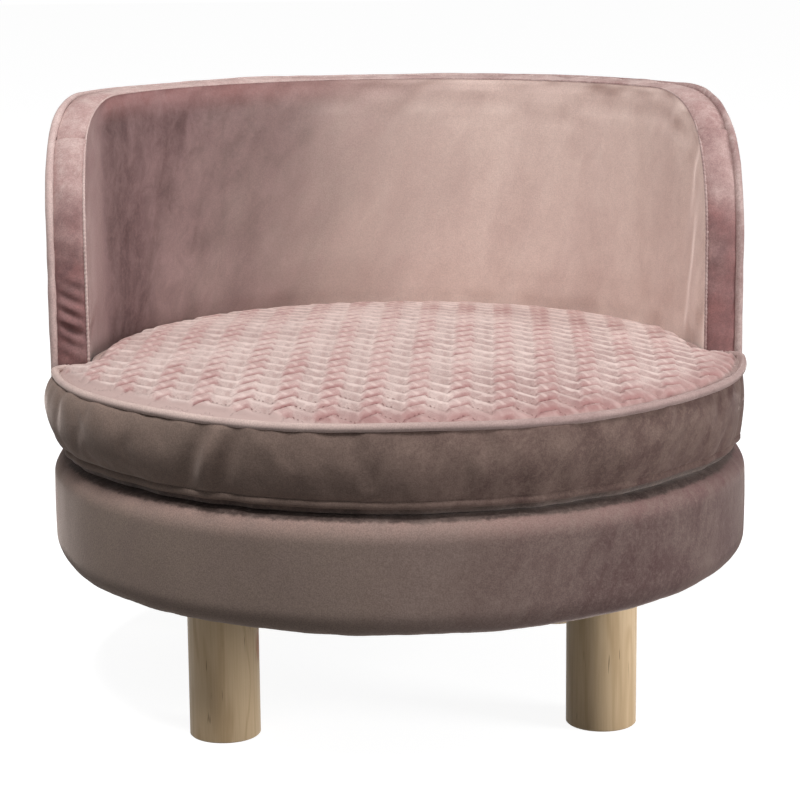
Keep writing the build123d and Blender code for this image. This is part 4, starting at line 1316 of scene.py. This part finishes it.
def build_cushion_piping():
    """The covered cord round the cushion's upper seam."""
    size, tones = sizes(), look()
    outline, _ = cushion_outline(0.0022)
    run = lengths_along(outline)
    from_front = np.minimum(run, run[-1] - run)
    spot = np.stack([from_front, 0 * run, 0 * run], axis=1)
    behind = ease(outline[:, 1], 0.0, 0.06)
    level = size.seam_height + noise(spot, 0.10, 26) * 0.0006 - 0.0018 * behind
    radii = size.piping_radius * (1 + 0.05 * noise(spot, 0.012, 27)) * (1 - 0.2 * behind)
    points, faces = tube(np.column_stack([outline, level]), radii, wrap=True)
    # The cord's velvet with a painted highlight, strongest on the left
    ends = (tones.piping, tones.piping_right)
    velvet_cord = piping_velvet("Cushion piping velvet", -0.14, 0.10, *ends, tones.quilt_pale)
    add_piece(
        "cushion_piping_velvet", points, faces, velvet_cord, "cushion_velvet", body="cushion",
        replaces=("cushion_piping",),
    )


def build_zip():
    """The zip's woven tape and its two rows of coil teeth."""
    tape_radius, chain_radius = tape_high.y, chain_high.y
    start = math.atan2(chain_low.y, chain_high.x)
    turns = np.linspace(start, np.pi - start, 220)
    heights = np.linspace(tape_low.z, tape_high.z, 7)
    tape = plain_cloth("Zip tape", look().zip_tape, 1800, 0.7, 0.9)
    points = rings(tape_radius, heights[:, None], turns)
    tape_piece = add_piece(
        "zip_tape_cloth", points, grid_faces(len(heights), len(turns)), tape, "zip_nylon", body="cushion",
        thickness=0.0005, replaces=("zip_tape",),
    )
    pitch, from_middle, half_height = 0.0016, 0.0010, 0.0013
    depth = (chain_radius - tape_radius) / 2
    middle = (tape_low.z + tape_high.z) / 2
    teeth = []
    for place in range(int(chain_radius * (np.pi - 2 * start) / pitch)):
        turn = start + (place + 0.5) * pitch / chain_radius
        out = np.array([math.cos(turn), math.sin(turn), 0.0])
        side = np.array([-math.sin(turn), math.cos(turn), 0.0])
        shift = from_middle if place % 2 else -from_middle
        centre = out * (tape_radius + depth) + np.array([0, 0, middle + shift])
        teeth.append([centre, side * pitch * 0.36, out * depth * 0.85, (0, 0, half_height)])
    nylon = plain_cloth("Zip coil", look().zip_coil, 600, 0.35, 0.5)
    add_blocks("zip_coil", teeth, nylon, "zip_nylon", body="cushion", replaces=("zip_chain",))


# CAD nodes that stay, with their own finish


def dress(material, slot, *nodes):
    """Gives CAD nodes that stay their material."""
    for node in nodes:
        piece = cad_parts[node]
        piece.data.materials.clear()
        piece.data.materials.append(material)


def dress_legs():
    """Pine for the legs, with a resin streak on one, whose wood is painted darker as painted shade."""
    tones = (look().pine_light, look().pine_dark)
    half = sizes().leg_spacing / 2
    streak = ((-half + 0.0228, -half - 0.006, 0.062), (0.006, 0.006, 0.016), look().resin)
    # Painted shade: the front left leg's wood is darker
    shaded_tones = [[value * 0.88 for value in tone] for tone in tones]
    plain = wood("Pine", *tones, 60, 0.42, 0.55)
    marked = wood("Pine with a streak and painted shade", *shaded_tones, 60, 0.42, 0.7, streak=streak)
    dress(plain, "pine", "leg_front_right", "leg_rear_left", "leg_rear_right")
    dress(marked, "pine", "leg_front_left")


def dress_core():
    """Wood for the hidden boards, and zinc plate for the fittings."""
    plywood = wood("Plywood", (0.52, 0.36, 0.19), (0.38, 0.23, 0.10), 40, 0.35, 0.25)
    board = wood("Fibreboard", (0.20, 0.12, 0.06), (0.15, 0.085, 0.04), 120, 0.2, 0.1)
    timber = wood("Softwood", (0.60, 0.42, 0.23), (0.42, 0.26, 0.12), 55, 0.45, 0.3)
    zinc = brushed_metal("Zinc plate", look().zinc)
    nickel = brushed_metal("Nickel plate", look().nickel)
    boards = ("base_bottom_board", "base_top_board", "backrest_panel", "backrest_bottom_rail")
    dress(plywood, "plywood", *boards)
    dress(board, "fibreboard", "base_ring_wall")
    dress(timber, "timber", "base_spacer_blocks")
    fittings = ("leg_t_nuts", "leg_hanger_bolts", "rail_inserts", "backrest_washers", "backrest_bolts")
    dress(zinc, "zinc_steel", *fittings)
    dress(nickel, "zip_metal", "zip_slider", "zip_pull")


# Studio


def by_sight(tree, hidden, shown):
    """The shown shader for the camera, reflections and glass, the hidden one for light cast on things."""
    rays = tree.nodes.new("ShaderNodeLightPath").outputs
    seen = math_node(tree, "MAXIMUM", rays["Is Camera Ray"], rays["Is Glossy Ray"])
    seen = seen.math("MAXIMUM", rays["Is Transmission Ray"])
    return add_node(tree, "MixShader", {0: seen, 1: hidden.outputs[0], 2: shown.outputs[0]}).outputs[0]


def floor_material():
    """A pale floor: white to the camera but for the object's soft shadow, a plain bounce to the rest."""
    material = bpy.data.materials.new("Pale floor")
    material.use_nodes = True
    tree = material.node_tree
    tree.nodes.clear()
    bounce = add_node(tree, "BsdfDiffuse", {"Color": (0.22, 0.22, 0.22)})
    shadow = add_node(tree, "BsdfDiffuse", {"Color": (0.36, 0.36, 0.36)})
    glow = add_node(tree, "Emission", {"Strength": 0.92})
    shown = add_node(tree, "AddShader", {0: shadow.outputs[0], 1: glow.outputs[0]})
    add_node(tree, "OutputMaterial", {"Surface": by_sight(tree, bounce, shown)})
    return material


def add_object(name, data):
    """A new object in the scene."""
    added = bpy.data.objects.new(name, data)
    bpy.context.scene.collection.objects.link(added)
    return added


def build_stage():
    """The pale floor, the white background, the soft lamps and the camera."""
    scene = bpy.context.scene
    place = scene.dogsofa_studio
    scene.view_settings.view_transform = "Standard"
    scene.world = bpy.data.worlds.new("Studio")
    scene.world.use_nodes = True
    tree = scene.world.node_tree
    tree.nodes.clear()
    light = add_node(tree, "Background", {"Color": (1, 1, 1), "Strength": place.ambient})
    white = add_node(tree, "Background", {"Color": (1, 1, 1)})
    add_node(tree, "OutputWorld", {"Surface": by_sight(tree, light, white)})

    half = place.floor_size / 2
    floor_mesh = bpy.data.meshes.new("floor")
    corners = [(-half, -half, 0), (half, -half, 0), (half, half, 0), (-half, half, 0)]
    floor_mesh.from_pydata(corners, [], [(0, 1, 2, 3)])
    floor_mesh.materials.append(floor_material())
    add_object("floor", floor_mesh)

    lamps = [
        ("Key softbox", (-0.35, -1.15, 2.75), (0, 0, 0.22), 0.9, 83.0),
        ("Right softbox", (1.50, -0.75, 0.40), (0.02, -0.05, 0.08), 0.6, 18.0),
    ]
    for name, spot, aim, width, watts in lamps:
        lamp = bpy.data.lights.new(name, "AREA")
        lamp.size = width
        lamp.energy = watts
        holder = add_object(name, lamp)
        holder.location = spot
        holder.rotation_euler = (Vector(aim) - Vector(spot)).to_track_quat("-Z", "Y").to_euler()

    camera = bpy.data.cameras.new("camera")
    camera.sensor_width = 36.0
    camera.lens = place.focal_pixels / place.frame_pixels * camera.sensor_width
    yaw, pitch, roll = place.camera_yaw, place.camera_pitch, place.camera_roll
    right = Vector((math.cos(yaw), -math.sin(yaw), 0))
    ahead = Vector((math.sin(yaw) * math.cos(pitch), math.cos(yaw) * math.cos(pitch), -math.sin(pitch)))
    up = right.cross(ahead)
    turned_right = right * math.cos(roll) - up * math.sin(roll)
    turned_up = right * math.sin(roll) + up * math.cos(roll)
    axes = Matrix((turned_right, turned_up, -ahead)).transposed().to_4x4()
    spot = Matrix.Translation((place.camera_side, -place.camera_distance, place.camera_height))
    scene.camera = add_object("camera", camera)
    scene.camera.matrix_world = spot @ axes


# Operators, one for each piece or group of like pieces


class DOGSOFA_OT_stage(bpy.types.Operator):
    """Set up the pale floor, the white background, the soft lamps and the camera"""

    bl_idname = "dogsofa.stage"
    bl_label = "Studio"

    def execute(self, context):
        build_stage()
        return {"FINISHED"}


class DOGSOFA_OT_base_cover(bpy.types.Operator):
    """Cover the round base in taupe velvet"""

    bl_idname = "dogsofa.base_cover"
    bl_label = "Base Cover"

    def execute(self, context):
        build_base_cover()
        return {"FINISHED"}


class DOGSOFA_OT_dust_cover(bpy.types.Operator):
    """Staple the black dust cover under the base"""

    bl_idname = "dogsofa.dust_cover"
    bl_label = "Dust Cover and Staples"

    def execute(self, context):
        build_dust_cover()
        build_staples()
        return {"FINISHED"}


class DOGSOFA_OT_legs(bpy.types.Operator):
    """Finish the four legs in pale pine"""

    bl_idname = "dogsofa.legs"
    bl_label = "Legs"

    def execute(self, context):
        dress_legs()
        return {"FINISHED"}


class DOGSOFA_OT_core(bpy.types.Operator):
    """Finish the hidden boards, the fittings and the zip's slider"""

    bl_idname = "dogsofa.core"
    bl_label = "Boards and Fittings"

    def execute(self, context):
        dress_core()
        return {"FINISHED"}


class DOGSOFA_OT_backrest_faces(bpy.types.Operator):
    """Cover the backrest's inner and outer faces in rose velvet"""

    bl_idname = "dogsofa.backrest_faces"
    bl_label = "Backrest Faces"

    def execute(self, context):
        build_backrest_inner()
        build_backrest_outer()
        return {"FINISHED"}


class DOGSOFA_OT_backrest_bands(bpy.types.Operator):
    """Sew the edge band of the backrest in its three lengths"""

    bl_idname = "dogsofa.backrest_bands"
    bl_label = "Backrest Bands"

    def execute(self, context):
        build_backrest_bands()
        build_backrest_welt()
        return {"FINISHED"}


class DOGSOFA_OT_pipings(bpy.types.Operator):
    """Run the covered cord round the backrest and round the cushion"""

    bl_idname = "dogsofa.pipings"
    bl_label = "Pipings"

    def execute(self, context):
        build_backrest_piping()
        build_cushion_piping()
        return {"FINISHED"}


class DOGSOFA_OT_cushion_top(bpy.types.Operator):
    """Quilt the crowned top of the cushion"""

    bl_idname = "dogsofa.cushion_top"
    bl_label = "Quilted Top"

    def execute(self, context):
        build_cushion_top()
        return {"FINISHED"}


class DOGSOFA_OT_cushion_sides(bpy.types.Operator):
    """Sew the cushion's side bands and its underside"""

    bl_idname = "dogsofa.cushion_sides"
    bl_label = "Cushion Sides"

    def execute(self, context):
        build_cushion_bands()
        build_cushion_bottom()
        return {"FINISHED"}


class DOGSOFA_OT_zip(bpy.types.Operator):
    """Sew in the zip's tape and teeth"""

    bl_idname = "dogsofa.zip"
    bl_label = "Zip"

    def execute(self, context):
        build_zip()
        return {"FINISHED"}


operators = (
    DOGSOFA_OT_stage,
    DOGSOFA_OT_base_cover,
    DOGSOFA_OT_dust_cover,
    DOGSOFA_OT_legs,
    DOGSOFA_OT_core,
    DOGSOFA_OT_backrest_faces,
    DOGSOFA_OT_backrest_bands,
    DOGSOFA_OT_pipings,
    DOGSOFA_OT_cushion_top,
    DOGSOFA_OT_cushion_sides,
    DOGSOFA_OT_zip,
)


class DOGSOFA_PT_panel(bpy.types.Panel):
    """The steps that dress the dog sofa bed"""

    bl_idname = "DOGSOFA_PT_panel"
    bl_label = "Dog Sofa Bed"
    bl_space_type = "VIEW_3D"
    bl_region_type = "UI"
    bl_category = "Dog Sofa"

    def draw(self, context):
        column = self.layout.column(align=True)
        for operator in operators:
            column.operator(operator.bl_idname)


classes = (DogSofaSizes, DogSofaLook, DogSofaStudio, *operators, DOGSOFA_PT_panel)


def register():
    for item in classes:
        bpy.utils.register_class(item)
    bpy.types.Scene.dogsofa_sizes = PointerProperty(type=DogSofaSizes)
    bpy.types.Scene.dogsofa_look = PointerProperty(type=DogSofaLook)
    bpy.types.Scene.dogsofa_studio = PointerProperty(type=DogSofaStudio)


def unregister():
    del bpy.types.Scene.dogsofa_studio
    del bpy.types.Scene.dogsofa_look
    del bpy.types.Scene.dogsofa_sizes
    for item in reversed(classes):
        bpy.utils.unregister_class(item)


def main():
    """Registers the add-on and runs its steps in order."""
    register()
    bpy.ops.dogsofa.stage()
    bpy.ops.dogsofa.base_cover()
    bpy.ops.dogsofa.dust_cover()
    bpy.ops.dogsofa.legs()
    bpy.ops.dogsofa.core()
    bpy.ops.dogsofa.backrest_faces()
    bpy.ops.dogsofa.backrest_bands()
    bpy.ops.dogsofa.pipings()
    bpy.ops.dogsofa.cushion_top()
    bpy.ops.dogsofa.cushion_sides()
    bpy.ops.dogsofa.zip()


if __name__ == "__main__":
    main()
